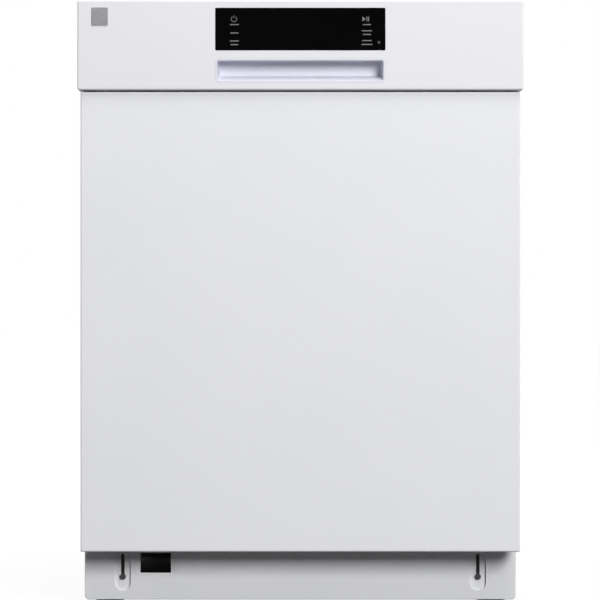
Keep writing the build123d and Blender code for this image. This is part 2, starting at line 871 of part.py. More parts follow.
# Inlet valve with its threaded stub through the rear wall
inlet_back = base_back - base_wall
with BuildPart() as inlet_valve:
    with BuildSketch(front_plane(rear_end)):
        with Locations((inlet_x, inlet_level)):
            Circle(inlet_radius)
    extrude(amount=rear_end - inlet_back + inlet_body)
    with BuildSketch(front_plane(inlet_back - running_gap)):
        with Locations((inlet_x, inlet_level)):
            RegularPolygon(inlet_nut_radius, 6)
    extrude(amount=2 * base_wall)
    with BuildSketch(front_plane(inlet_back - 3 * base_wall)):
        with Locations((inlet_x, inlet_level)):
            RectangleRounded(inlet_body, inlet_body, wall)
    extrude(amount=inlet_body)
    with BuildSketch(front_plane(inlet_back - 3 * base_wall - inlet_body)):
        with Locations((inlet_x, inlet_level)):
            Circle(inlet_coil_radius)
    extrude(amount=inlet_coil_length)
    with BuildSketch(front_plane(base_back + running_gap + port_collar)):
        with Locations((inlet_x, inlet_level)):
            Circle(inlet_radius + port_collar)
    extrude(amount=port_collar)

# Junction box with a conduit bushing through the rear wall
conduit_z = base_floor + box_height / 2
with BuildPart() as junction_box:
    with BuildSketch(level(base_floor)):
        with Locations((box_x, inlet_back - running_gap - box_length / 2)):
            RectangleRounded(box_width, box_length, wall)
    extrude(amount=box_height)
    chamfer(junction_box.edges().group_by(Axis.Z)[-1], wall / 2)
    with BuildSketch(front_plane(base_back + conduit_reach)):
        with Locations((box_x, conduit_z)):
            Circle(conduit_bore + conduit_wall)
    extrude(amount=conduit_reach + 2 * base_wall)
    with BuildSketch(front_plane(base_back + conduit_reach)):
        with Locations((box_x, conduit_z)):
            Circle(conduit_bore)
    extrude(amount=conduit_depth, mode=Mode.SUBTRACT)

# Air break on the left tub wall, with its vent cap inside the tub
air_break_x = -tub_half - sheet - running_gap
with BuildPart() as air_break:
    with BuildSketch(side_plane(air_break_x - air_break_thickness)):
        with Locations((air_break_y, air_break_z)):
            RectangleRounded(air_break_length, air_break_height, tub_corner)
    extrude(amount=air_break_thickness)
    with BuildSketch(side_plane(air_break_x - air_break_thickness)):
        with Locations((air_break_y, air_break_z)):
            with GridLocations(air_break_cell_pitch, 1, air_break_cells, 1):
                RectangleRounded(air_break_cell_width, air_break_cell_height, air_break_cell_corner)
    extrude(amount=air_break_thickness / 2, mode=Mode.SUBTRACT)
    with BuildSketch(side_plane(-tub_half + running_gap)):
        with Locations((vent_y, vent_z)):
            Circle(vent_cap_radius)
    extrude(amount=vent_cap_height)
    with BuildSketch(side_plane(air_break_x)):
        with Locations((vent_y, vent_z)):
            Circle(vent_radius - running_gap)
    extrude(amount=-tub_half + running_gap - air_break_x)
    with BuildSketch(side_plane(-tub_half + running_gap + vent_cap_height)):
        with Locations((vent_y, vent_z)):
            with PolarLocations(vent_hole_ring, vent_holes):
                Circle(vent_hole_radius)
    extrude(amount=-vent_cap_height / 2, mode=Mode.SUBTRACT)

# Riser: a flat duct up the tub back and along the roof, with a docking nozzle for the upper rack
roof_run_z = tub_roof - running_gap - riser_thickness / 2


def riser_duct(width, thickness, end):
    """A flat rounded duct from the heater up the tub back and along the roof to a depth y."""
    start = heater_front + heater_length
    with BuildLine(Plane.YZ) as path:
        FilletPolyline(
            (start, heater_level), (riser_y, heater_level), (riser_y, roof_run_z), (end, roof_run_z), radius=riser_bend
        )
    with BuildSketch(front_plane(start)) as section:
        with Locations((0, heater_level)):
            RectangleRounded(width, thickness, thickness / 3)
    return sweep(section.sketch, path=path.wires()[0], mode=Mode.PRIVATE)


with BuildPart() as riser_tube:
    add(riser_duct(riser_width, riser_thickness, hub_y))
    with BuildSketch(front_plane(riser_y)):
        with Locations((0, upper_feed_z)):
            Circle(dock_radius)
    extrude(amount=riser_thickness / 2 + dock_reach)
    add(
        riser_duct(riser_width - 2 * riser_wall, riser_thickness - 2 * riser_wall, hub_y + riser_wall),
        mode=Mode.SUBTRACT,
    )
    with BuildSketch(front_plane(riser_y)):
        with Locations((0, upper_feed_z)):
            Circle(dock_radius - riser_wall)
    extrude(amount=riser_thickness / 2 + dock_reach, mode=Mode.SUBTRACT)

with BuildPart() as top_sprayer:
    with BuildSketch(level(roof_run_z - riser_thickness / 2 - sprayer_height)):
        with Locations((0, hub_y + sprayer_radius)):
            Circle(sprayer_radius)
    extrude(amount=sprayer_height, taper=sprayer_taper)
    with BuildSketch(level(roof_run_z - riser_thickness / 2 - sprayer_height)):
        with Locations((0, hub_y + sprayer_radius)):
            with PolarLocations(sprayer_jet_ring, sprayer_jets):
                Circle(nozzle_radius)
    extrude(amount=sprayer_height / 2, mode=Mode.SUBTRACT)

# Filter plate in the floor and the filter cylinder that twists out of it
filter_seat = floor_level + filter_plate_thickness
with BuildPart() as filter_plate:
    with BuildSketch(level(floor_level)):
        with Locations((filter_x, filter_y)):
            Circle(filter_plate_radius)
            Circle(filter_radius + running_gap, mode=Mode.SUBTRACT)
    extrude(amount=filter_plate_thickness)

with BuildPart() as filter_cylinder:
    with BuildSketch(level(filter_seat + running_gap)):
        with Locations((filter_x, filter_y)):
            Circle(filter_radius + filter_collar)
    extrude(amount=wall)
    with BuildSketch(level(filter_seat + running_gap + wall)):
        with Locations((filter_x, filter_y)):
            Circle(filter_radius)
    extrude(amount=-filter_depth)
    with BuildSketch(level(filter_seat + running_gap + wall)):
        with Locations((filter_x, filter_y)):
            Circle(filter_radius - wall)
            Rectangle(2 * filter_radius, 4 * wall, mode=Mode.SUBTRACT)
    extrude(amount=-filter_depth + wall, mode=Mode.SUBTRACT)
    with BuildSketch(level(filter_seat + running_gap + wall)):
        with Locations((filter_x, filter_y)):
            SlotOverall(2 * filter_radius, 4 * wall)
    extrude(amount=filter_grip_height)

# Overflow float
with BuildPart() as float_dome:
    with BuildSketch(level(floor_level + running_gap)):
        with Locations((float_x, float_y)):
            Circle(float_radius)
    extrude(amount=float_height)
    fillet(float_dome.edges().group_by(Axis.Z)[-1], float_height / 2)
    with BuildSketch(level(floor_level + running_gap)):
        with Locations((float_x, float_y)):
            Circle(float_stem_radius)
    extrude(amount=-float_stem_length)


def spray_arm(low, reach, socket_low):
    """A flat two-bladed arm that spins about Z: a wide hub, tapering blades, and a row of jets on each."""
    pitch = (reach - arm_hub_radius) / nozzle_count
    with BuildPart() as arm:
        with BuildSketch(level(low)):
            with Locations((0, hub_y)):
                Circle(arm_hub_radius)
            with Locations((-reach, hub_y), (reach, hub_y)):
                Circle(arm_tip_radius)
            make_hull()
        extrude(amount=arm_thickness)
        fillet(arm.edges().group_by(Axis.Z)[-1], arm_thickness / 3)
        with BuildSketch(level(low + arm_thickness)):
            for step in range(nozzle_count):
                jet_x = arm_hub_radius + pitch * (step + 0.5)
                with Locations((jet_x, hub_y), (-jet_x, hub_y)):
                    Circle(nozzle_radius)
        extrude(amount=-arm_thickness / 2, mode=Mode.SUBTRACT)
        with BuildSketch(level(socket_low)):
            with Locations((0, hub_y)):
                Circle(journal_radius + shaft_gap)
        extrude(amount=journal_reach + running_gap, mode=Mode.SUBTRACT)
    return arm.part


lower_spray_arm = spray_arm(lower_arm_z, lower_arm_reach, lower_arm_z)
upper_spray_arm = spray_arm(
    upper_arm_z, upper_arm_reach, upper_arm_z + arm_thickness - journal_reach - running_gap
)

# Feed pipe under the upper rack: docks on the riser at the back and carries the upper arm's journal
feed_back = riser_y - riser_thickness / 2 - dock_reach - running_gap
with BuildPart() as upper_feed_pipe:
    with BuildSketch(front_plane(feed_back)):
        with Locations((0, upper_feed_z)):
            Circle(feed_pipe_radius)
    extrude(amount=feed_back - hub_y)
    with BuildSketch(level(upper_arm_z + arm_thickness + running_gap)):
        with Locations((0, hub_y)):
            Circle(spigot_radius)
    extrude(amount=2 * feed_pipe_radius)
    with BuildSketch(level(upper_arm_z + arm_thickness + running_gap)):
        with Locations((0, hub_y)):
            Circle(journal_radius)
    extrude(amount=-journal_reach)

# Door outer panel: a pressed tray with folded edges, its bottom fold cut back at the hinges
with BuildPart() as outer_panel:
    with BuildSketch(front_plane(door_face + panel_return)):
        with Locations((0, (door_bottom + door_top) / 2)):
            Rectangle(2 * door_half, door_top - door_bottom)
    extrude(amount=panel_return)
    fillet(outer_panel.faces().sort_by(Axis.Y)[0].edges(), panel_edge)
    offset(amount=-sheet, openings=outer_panel.faces().sort_by(Axis.Y)[-1])
    for side in (-1, 1):
        span(
            sorted((side * notch_half, side * (door_half - sheet))),
            (door_face + 2 * panel_edge, door_face + 2 * panel_return),
            (door_bottom - panel_edge, door_bottom + panel_edge),
            Mode.SUBTRACT,
        )
    span(
        (-notch_half, notch_half),
        (door_face + panel_foot, door_face + 2 * panel_return),
        (door_bottom - panel_edge, door_bottom + panel_edge),
        Mode.SUBTRACT,
    )
    span(
        (-door_half + sheet, door_half - sheet),
        (liner_face - liner_return - running_gap, door_face + 2 * panel_return),
        (door_top - panel_edge, door_top + panel_edge),
        Mode.SUBTRACT,
    )

# Door liner: a pressed tray with a shallow dish, cut away at the hinges, the strike and the dispenser
dish_face = liner_face - dish_depth
body_width = dispenser_width - 2 * dispenser_rim
body_height = dispenser_height - 2 * dispenser_rim
dish_mid = (dish_top + dish_bottom) / 2
dish_height = dish_top - dish_bottom
dish_growth = sheet / cos(radians(dish_slope))
liner_mid = (liner_top + liner_bottom) / 2
liner_height = liner_top - liner_bottom
with BuildPart() as dish_back:
    with BuildSketch(front_plane(liner_face)):
        with Locations((0, dish_mid)):
            RectangleRounded(
                2 * (dish_half + dish_growth),
                dish_height + 2 * dish_growth,
                dish_corner + dish_growth,
            )
    extrude(amount=dish_depth + sheet, taper=dish_slope)
    fillet(dish_back.faces().sort_by(Axis.Y)[0].edges(), sheet)

with BuildPart() as liner_hollow:
    with BuildSketch(front_plane(liner_face - sheet)):
        with Locations((0, liner_mid)):
            RectangleRounded(2 * (liner_half - sheet), liner_height - 2 * sheet, liner_corner - sheet)
    extrude(amount=liner_return - sheet)
    add(dish_back.part, mode=Mode.SUBTRACT)

with BuildPart() as door_liner:
    with BuildSketch(front_plane(liner_face)):
        with Locations((0, liner_mid)):
            RectangleRounded(2 * liner_half, liner_height, liner_corner)
    extrude(amount=liner_return)
    with BuildSketch(front_plane(liner_face)):
        with Locations((0, dish_mid)):
            RectangleRounded(2 * dish_half, dish_height, dish_corner)
    extrude(amount=dish_depth, taper=dish_slope, mode=Mode.SUBTRACT)
    add(liner_hollow.part, mode=Mode.SUBTRACT)
    for side in (-1, 1):
        span(
            sorted((side * notch_half, side * (liner_half + wall))),
            (liner_face - liner_return - wall, liner_face + wall),
            (liner_bottom - wall, notch_top),
            Mode.SUBTRACT,
        )
    span(
        (-strike_half - wall, strike_half + wall),
        (liner_face - 2 * sheet, liner_face + sheet),
        (strike_z - 2 * wall, strike_z + strike_thickness),
        Mode.SUBTRACT,
    )
    with BuildSketch(front_plane(liner_face)):
        with Locations((0, dispenser_z)):
            Rectangle(body_width + 2 * running_gap, body_height + 2 * running_gap)
    extrude(amount=2 * dish_depth, mode=Mode.SUBTRACT)

# Console: a shell open at the back, framed behind the glass and cut out for the handle cup
glass_z = overall_height - glass_drop
cup_top = overall_height - cup_drop
cup_mid = cup_top - cup_height / 2
with BuildPart() as console:
    with BuildSketch(front_plane(front_y + console_depth)):
        with Locations((0, (console_bottom + overall_height) / 2)):
            RectangleRounded(overall_width, console_height, console_corner)
    extrude(amount=console_depth)
    offset(amount=-wall, openings=console.faces().sort_by(Axis.Y)[-1])
    fillet(console.faces().sort_by(Axis.Y)[0].edges(), console_edge)
    span(
        (-overall_width / 2 + wall, overall_width / 2 - wall),
        (front_y + console_floor_depth, front_y + 2 * console_depth),
        (console_bottom - wall, console_bottom + 2 * wall),
        Mode.SUBTRACT,
    )
    for side in (-1, 1):
        for lug_z in (console_bottom + console_floor_depth, overall_height - console_floor_depth):
            span(
                sorted((side * (liner_half + weld_gap), side * (overall_width / 2 - wall / 2))),
                (liner_face - liner_return + wall, front_y + console_depth),
                (lug_z - wall, lug_z + wall),
            )
    with BuildSketch(front_plane(front_y + glass_frame_depth)):
        with Locations((0, glass_z)):
            RectangleRounded(glass_width + 2 * glass_ledge, glass_height + 2 * glass_ledge, glass_ledge)
    extrude(amount=glass_frame_depth - wall / 2)
    with BuildSketch(front_plane(front_y + glass_thickness)):
        with Locations((0, glass_z)):
            RectangleRounded(
                glass_width + 2 * weld_gap, glass_height + 2 * weld_gap, glass_corner + weld_gap
            )
    extrude(amount=2 * glass_thickness, mode=Mode.SUBTRACT)
    with BuildSketch(front_plane(front_y + 2 * glass_frame_depth)):
        with Locations((0, glass_z)):
            Rectangle(glass_width - 2 * glass_ledge, glass_height - 2 * glass_ledge)
    extrude(amount=2 * glass_frame_depth, mode=Mode.SUBTRACT)
    with BuildSketch(front_plane(front_y + 2 * wall)):
        with Locations((0, cup_mid)):
            RectangleRounded(
                cup_width + 2 * cup_wall + 2 * weld_gap,
                cup_height + 2 * cup_wall + 2 * weld_gap,
                cup_corner + cup_wall + weld_gap,
            )
    extrude(amount=3 * wall, mode=Mode.SUBTRACT)

with BuildPart() as control_glass:
    with BuildSketch(front_plane(front_y + glass_thickness)):
        with Locations((0, glass_z)):
            RectangleRounded(glass_width, glass_height, glass_corner)
    extrude(amount=glass_thickness)
    chamfer(control_glass.faces().sort_by(Axis.Y)[0].edges(), running_gap)

# Control board behind the glass, with its display and connectors
board_front = front_y + glass_frame_depth
with BuildPart() as control_board:
    with BuildSketch(front_plane(board_front + board_thickness)):
        with Locations((0, glass_z)):
            Rectangle(glass_width, glass_height - glass_ledge)
    extrude(amount=board_thickness)
    with BuildSketch(front_plane(board_front)):
        with Locations((0, glass_z)):
            Rectangle(display_width, display_height)
    extrude(amount=glass_frame_depth - glass_thickness - running_gap)
    with BuildSketch(front_plane(board_front + 3 * board_thickness)):
        with Locations((0, glass_z)):
            with GridLocations(display_width / 3, 1, 3, 1):
                Rectangle(display_height, display_height / 3)
    extrude(amount=2 * board_thickness)

# Handle cup: a tapered pocket with a flat roof, a low back and sloping sides and floor
paddle_front = front_y + paddle_setback
paddle_back = paddle_front + paddle_reach
pivot_y = paddle_back - paddle_pivot_radius
pivot_z = cup_top + cup_wall + paddle_pivot_rise
with BuildPart() as handle_cup:
    with BuildSketch(front_plane(front_y)):
        with Locations((0, cup_mid)):
            RectangleRounded(cup_width + 2 * cup_wall, cup_height + 2 * cup_wall, cup_corner + cup_wall)
    with BuildSketch(front_plane(front_y + cup_depth + cup_wall)):
        with Locations((0, cup_top - cup_back_height / 2)):
            RectangleRounded(
                cup_width - 2 * cup_side_slope + 2 * cup_wall,
                cup_back_height + 2 * cup_wall,
                cup_corner + cup_wall,
            )
    loft()
    for side in (-1, 1):
        span(
            sorted((side * (paddle_half + paddle_gap), side * (paddle_half + paddle_gap + paddle_lug))),
            (pivot_y - 2 * paddle_pivot_radius, pivot_y + 2 * paddle_pivot_radius),
            (cup_top + cup_wall / 2, pivot_z + 2 * paddle_pivot_radius),
        )
    with BuildSketch(front_plane(front_y)):
        with Locations((0, cup_mid)):
            RectangleRounded(cup_width, cup_height, cup_corner)
    with BuildSketch(front_plane(front_y + cup_depth)):
        with Locations((0, cup_top - cup_back_height / 2)):
            RectangleRounded(cup_width - 2 * cup_side_slope, cup_back_height, cup_corner)
    loft(mode=Mode.SUBTRACT)
    span(
        (-paddle_half - paddle_gap, paddle_half + paddle_gap),
        (paddle_front - paddle_gap, paddle_back + paddle_gap),
        (cup_top - wall, cup_top + 2 * wall),
        Mode.SUBTRACT,
    )
    with BuildSketch(side_plane(-paddle_half - paddle_gap - 2 * paddle_lug)):
        with Locations((pivot_y, pivot_z)):
            Circle(paddle_pivot_radius + shaft_gap)
    extrude(amount=2 * (paddle_half + paddle_gap + 2 * paddle_lug), mode=Mode.SUBTRACT)

with BuildPart() as release_paddle:
    span((-paddle_half, paddle_half), (paddle_front, paddle_back), (cup_top, cup_top + cup_wall))
    span(
        (-paddle_half, paddle_half),
        (pivot_y - paddle_pivot_radius, pivot_y + paddle_pivot_radius),
        (cup_top, pivot_z),
    )
    with BuildSketch(side_plane(-paddle_half - paddle_gap - paddle_lug)):
        with Locations((pivot_y, pivot_z)):
            Circle(paddle_pivot_radius)
    extrude(amount=2 * (paddle_half + paddle_gap + paddle_lug))

# Door latch housing behind the liner, with the mouth for the strike
liner_back = liner_face - sheet
with BuildPart() as door_latch:
    span(
        (-latch_half, latch_half),
        (liner_back - latch_depth, liner_back),
        (strike_z - latch_height / 2, strike_z + latch_height / 2 - wall / 2),
    )
    fillet(door_latch.edges().filter_by(Axis.Y), wall / 2)
    span(
        (-strike_half - wall, strike_half + wall),
        (liner_back - strike_reach - wall, liner_back + wall),
        (strike_z - 1.5 * wall, strike_z + strike_thickness),
        Mode.SUBTRACT,
    )

# Hinge: ears on the base, pins, and arms up the inside of the door with a lever pin for the strap
with BuildPart() as hinge_brackets:
    with BuildSketch(side_plane(ear_x)):
        with Locations((hinge_y + hinge_ear_reach / 2, hinge_z)):
            SlotCenterToCenter(hinge_ear_reach, 2 * hinge_ear_radius)
        with Locations((hinge_y, hinge_z)):
            Circle(hinge_pin_radius + shaft_gap, mode=Mode.SUBTRACT)
    extrude(amount=hinge_plate)
    mirror(about=Plane.YZ)

with BuildPart() as hinge_pins:
    with BuildSketch(side_plane(arm_x - plate_gap)):
        with Locations((hinge_y, hinge_z)):
            Circle(hinge_pin_radius)
    extrude(amount=ear_x + hinge_plate + 2 * plate_gap - arm_x)
    with BuildSketch(side_plane(arm_x - running_gap)):
        with Locations((hinge_y, hinge_z)):
            Circle(hinge_pin_head)
    extrude(amount=-2 * plate_gap)
    mirror(about=Plane.YZ)

with BuildPart() as hinge_arms:
    with BuildSketch(side_plane(arm_x)):
        with Locations((hinge_y, hinge_z)):
            Circle(hinge_ear_radius)
        with Locations(
            ((hinge_y - hinge_ear_radius + liner_back) / 2, hinge_z + hinge_arm_height / 2)
        ):
            Rectangle(liner_back - hinge_y + hinge_ear_radius, hinge_arm_height)
        with Locations((hinge_y, hinge_z)):
            Circle(hinge_pin_radius + shaft_gap, mode=Mode.SUBTRACT)
    extrude(amount=hinge_plate)
    span(
        (arm_x - hinge_arm_flange, arm_x),
        (liner_back - hinge_plate, liner_back),
        (notch_top, hinge_z + hinge_arm_height),
    )
    with BuildSketch(side_plane(arm_x + hinge_plate)):
        with Locations((hinge_y + lever, hinge_z + lever)):
            Circle(lever_pin_radius)
    extrude(amount=plate_gap + hinge_plate)
    mirror(about=Plane.YZ)

# Straps from the levers to the springs, with an upright slot that lets the lever pin rise
slot_half = lever_pin_radius + strap_slot_play
slot_mid = strap_z - lever_pin_radius - running_gap + strap_slot_height / 2
strap_end = spring_front - running_gap
with BuildPart() as spring_straps:
    with BuildSketch(side_plane(strap_x)):
        with Locations((hinge_y + lever, slot_mid)):
            RectangleRounded(2 * (slot_half + strap_rim), strap_slot_height + 2 * strap_rim, strap_rim)
        with Locations(((hinge_y + lever + strap_end) / 2, strap_z)):
            Rectangle(strap_end - hinge_y - lever, strap_height)
        with Locations((hinge_y + lever, slot_mid)):
            RectangleRounded(2 * slot_half, strap_slot_height, slot_half - running_gap, mode=Mode.SUBTRACT)
    extrude(amount=hinge_plate)
    mirror(about=Plane.YZ)

# Counterbalance springs, close-wound, hooked on the straps and on the base's anchors
spring_x = strap_x + hinge_plate / 2
coil_pitch = spring_length / spring_turns
coil_profile = [(0, 0), (0, spring_radius - spring_wire)]
for turn in range(spring_turns):
    coil_profile.append((coil_pitch * (turn + 0.5), spring_radius))
    coil_profile.append((coil_pitch * (turn + 1), spring_radius - spring_wire))
coil_profile.append((spring_length, 0))
with BuildPart() as door_springs:
    with BuildSketch(Plane(origin=(spring_x, spring_front, strap_z), x_dir=(0, 1, 0), z_dir=(1, 0, 0))):
        with BuildLine():
            Polyline(*coil_profile, close=True)
        make_face()
    revolve(axis=Axis((spring_x, spring_front, strap_z), (0, 1, 0)))
    with BuildSketch(front_plane(anchor_y)):
        with Locations((spring_x, strap_z)):
            Circle(spring_wire)
    extrude(amount=2 * spring_hook)
    mirror(about=Plane.YZ)

# Toe kick panel with keyhole recesses, adjusting slots and a small access window, and its two screws
toe_mid = (toe_kick_bottom + toe_kick_top) / 2
toe_height = toe_kick_top - toe_kick_bottom
recess_length = toe_kick_top - recess_bottom + recess_width
screw_z = slot_bottom + slot_width / 2
with BuildPart() as toe_kick_panel:
    with BuildSketch(front_plane(toe_face + toe_kick_return)):
        with Locations((0, toe_mid)):
            RectangleRounded(toe_kick_width, toe_height, toe_kick_corner)
    extrude(amount=toe_kick_return)
    fillet(toe_kick_panel.faces().sort_by(Axis.Y)[0].edges(), toe_kick_thickness / 2)
    with BuildSketch(front_plane(toe_face + toe_kick_return)):
        with Locations((0, toe_mid)):
            RectangleRounded(
                toe_kick_width - 2 * toe_kick_thickness,
                toe_height - 2 * toe_kick_thickness,
                toe_kick_corner - toe_kick_thickness,
            )
    extrude(amount=toe_kick_return - toe_kick_thickness, mode=Mode.SUBTRACT)
    with BuildSketch(front_plane(recess_back)):
        with GridLocations(2 * slot_x, 1, 2, 1):
            with Locations((0, recess_bottom - toe_kick_thickness + recess_length / 2)):
                SlotOverall(recess_length, recess_width + 2 * toe_kick_thickness, rotation=90)
        with Locations((0, toe_kick_top + recess_length / 2)):
            Rectangle(toe_kick_width, recess_length, mode=Mode.SUBTRACT)
    extrude(amount=recess_back - toe_face - toe_kick_thickness / 2)
    with BuildSketch(front_plane(toe_face + recess_depth)):
        with GridLocations(2 * slot_x, 1, 2, 1):
            with Locations((0, recess_bottom + recess_length / 2)):
                SlotOverall(recess_length, recess_width, rotation=90)
        with Locations((0, toe_kick_top - toe_kick_thickness + recess_length / 2)):
            Rectangle(toe_kick_width, recess_length, mode=Mode.SUBTRACT)
    extrude(amount=2 * recess_depth, mode=Mode.SUBTRACT)
    with BuildSketch(front_plane(recess_back + wall)):
        with GridLocations(2 * slot_x, 1, 2, 1):
            with Locations((0, (slot_bottom + slot_top) / 2)):
                SlotOverall(slot_top - slot_bottom, slot_width, rotation=90)
        with Locations((window_x, (window_bottom + window_top) / 2)):
            Rectangle(window_width, window_top - window_bottom)
    extrude(amount=2 * recess_back - 2 * toe_face, mode=Mode.SUBTRACT)
    with BuildSketch(front_plane(toe_face + window_lip_depth)):
        with Locations((window_x, (lip_bottom + window_top) / 2)):
            Rectangle(window_width + 2 * window_lip, window_top - lip_bottom)
    extrude(amount=2 * window_lip_depth, mode=Mode.SUBTRACT)

with BuildPart() as toe_kick_screws:
    with BuildSketch(front_plane(toe_face + recess_depth - running_gap)):
        with Locations((slot_x, screw_z)):
            Circle(screw_head_radius)
    extrude(amount=screw_head_height)
    with BuildSketch(front_plane(toe_face + recess_depth - running_gap)):
        with Locations((slot_x, screw_z)):
            Circle(screw_radius)
    extrude(amount=-screw_length)
    mirror(about=Plane.YZ)

# Detergent dispenser: body set in the liner, sliding lid and rinse-aid cap
body_face = dish_face + dispenser_proud
lid_width = detergent_width + 2 * lid_margin
lid_height = detergent_height + 2 * lid_margin
with BuildPart() as dispenser_body:
    with BuildSketch(front_plane(body_face)):
        with Locations((0, dispenser_z)):
            RectangleRounded(dispenser_width, dispenser_height, dispenser_rim)
    extrude(amount=dispenser_proud)
    with BuildSketch(front_plane(dish_face)):
        with Locations((0, dispenser_z)):
            RectangleRounded(body_width, body_height, dispenser_rim)
    extrude(amount=dispenser_depth)
    for side in (-1, 1):
        rail_edge = dispenser_z + side * (lid_height / 2 + running_gap)
        span(
            (-body_width / 2, body_width / 2),
            (body_face, body_face + lid_thickness),
            sorted((rail_edge, rail_edge + side * wall)),
        )
    with BuildSketch(front_plane(body_face)):
        with Locations((detergent_x, dispenser_z)):
            RectangleRounded(detergent_width, detergent_height, dispenser_rim)
    extrude(amount=detergent_depth, mode=Mode.SUBTRACT)
    with BuildSketch(front_plane(body_face)):
        with Locations((cap_x, dispenser_z)):
            Circle(cap_radius + running_gap)
    extrude(amount=cap_depth, mode=Mode.SUBTRACT)

with BuildPart() as dispenser_lid:
    with BuildSketch(front_plane(body_face + running_gap + lid_thickness)):
        with Locations((detergent_x, dispenser_z)):
            RectangleRounded(lid_width, lid_height, lid_margin)
    extrude(amount=lid_thickness)
    with BuildSketch(front_plane(body_face + running_gap + 2 * lid_thickness)):
        with Locations((detergent_x + lid_width / 2 - 2 * lid_margin, dispenser_z)):
            SlotOverall(lid_height / 2, lid_margin, rotation=90)
    extrude(amount=lid_thickness)

with BuildPart() as rinse_aid_cap:
    with BuildSketch(front_plane(body_face - running_gap)):
        with Locations((cap_x, dispenser_z)):
            Circle(cap_radius)
    extrude(amount=cap_depth - 2 * running_gap)
    with BuildSketch(front_plane(body_face - running_gap)):
        with Locations((cap_x, dispenser_z)):
            Circle(cap_radius - wall)
            Rectangle(2 * cap_radius, 2 * wall, mode=Mode.SUBTRACT)
    extrude(amount=cap_depth / 2, mode=Mode.SUBTRACT)


def rods_along_y(places, back, front):
    """Straight six-sided wires along Y, one at each (x, z) place."""
    with BuildSketch(front_plane(back)) as ends:
        with Locations(*places):
            RegularPolygon(wire / 2, 6)
    extrude(ends.sketch, amount=back - front)


def rods_along_x(places, left, right):
    """Straight six-sided wires along X, one at each (y, z) place."""
    with BuildSketch(side_plane(left)) as ends:
        with Locations(*places):
            RegularPolygon(wire / 2, 6)
    extrude(ends.sketch, amount=right - left)


def rods_upright(places, low, high, diameter):
    """Straight six-sided wires standing up, one at each (x, y) place."""
    with BuildSketch(level(low)) as ends:
        with Locations(*places):
            RegularPolygon(diameter / 2, 6)
    extrude(ends.sketch, amount=high - low)


def row(count, pitch, middle=0.0):
    """Evenly spaced places about a middle."""
    return [middle + pitch * (index - (count - 1) / 2) for index in range(count)]


def ring(half, front, back, height):
    """Four straight wires round the outside of a rack's upright wires."""
    ring_x = half + wire_step
    rods_along_x(
        [(front - wire_step, height), (back + wire_step, height)],
        -ring_x + wire / 2 + weld_gap,
        ring_x - wire / 2 - weld_gap,
    )
    rods_along_y([(-ring_x, height), (ring_x, height)], back + 1.5 * wire_step, front - 1.5 * wire_step)


# Lower rack: floor wires, sloped nose, upright wires, two rings, tines, and the wheel carriers
lower_mid = (lower_rack_front + lower_rack_toe + lower_rack_back) / 2
lower_long = row(lower_long_count, lower_long_pitch)
lower_cross = row(lower_cross_count, lower_cross_pitch, lower_mid)
lower_back = lower_rack_back + wire / 2 + weld_gap
nose_plane = Plane(
    origin=(0, lower_rack_front + lower_rack_toe, rack_floor),
    x_dir=(1, 0, 0),
    z_dir=(0, -lower_rack_toe, lower_rack_nose),
)
nose_length = (lower_rack_toe**2 + lower_rack_nose**2) ** 0.5
nose_trim = wire / 4 + weld_gap
nose_start = lower_rack_front + lower_rack_toe + nose_trim
wheel_front_y = lower_cross[1]
wheel_rear_y = lower_cross[-2]
tine_foot = rack_floor + wire_step + wire / 2 + weld_gap
tine_x = [x + lower_long_pitch / 2 for x in lower_long[:lower_tine_rows]]
carrier_x = lower_rack_half + wire / 2 + weld_gap
axle_x = carrier_x + carrier_thickness
wheel_x = axle_x + running_gap
with BuildPart() as lower_rack:
    rods_along_y([(x, rack_floor) for x in lower_long], lower_rack_back, nose_start)
    rods_along_x(
        [(y, rack_floor + wire_step) for y in lower_cross],
        -lower_rack_half + wire / 2 + weld_gap,
        lower_rack_half - wire / 2 - weld_gap,
    )
    with BuildSketch(nose_plane.offset(nose_trim)):
        with Locations(*[(x, 0) for x in lower_long]):
            RegularPolygon(wire / 2, 6)
    extrude(amount=nose_length - 2 * nose_trim)
    rods_upright(
        [(x, lower_rack_front) for x in lower_long], rack_floor + lower_rack_nose + nose_trim, lower_rim, wire
    )
    rods_upright([(x, lower_back) for x in lower_long], rack_floor - wire / 2, lower_rim, wire)
    for side in (-1, 1):
        rods_upright([(side * lower_rack_half, y) for y in lower_cross], rack_floor, lower_rim, wire)
    ring(lower_rack_half, lower_rack_front, lower_back, lower_rim - wire / 2)
    ring(lower_rack_half, lower_rack_front, lower_back, (rack_floor + lower_rim) / 2)
    rods_upright([(x, y) for x in tine_x for y in lower_cross], tine_foot, tine_foot + lower_tine_height, tine)
    for side in (-1, 1):
        for wheel_y in (wheel_front_y, wheel_rear_y):
            with BuildSketch(side_plane(side * carrier_x)):
                with Locations((wheel_y, axle_z - 2 * wheel_bore + carrier_height / 2)):
                    RectangleRounded(carrier_length, carrier_height, 2 * wheel_bore)
            extrude(amount=side * carrier_thickness)
            with BuildSketch(side_plane(side * axle_x)):
                with Locations((wheel_y, axle_z)):
                    Circle(wheel_bore)
            extrude(amount=side * (wheel_width + 2 * running_gap + plate_gap))
            with BuildSketch(side_plane(side * (wheel_x + wheel_width + running_gap))):
                with Locations((wheel_y, axle_z)):
                    Circle(axle_head_radius)
            extrude(amount=side * plate_gap)


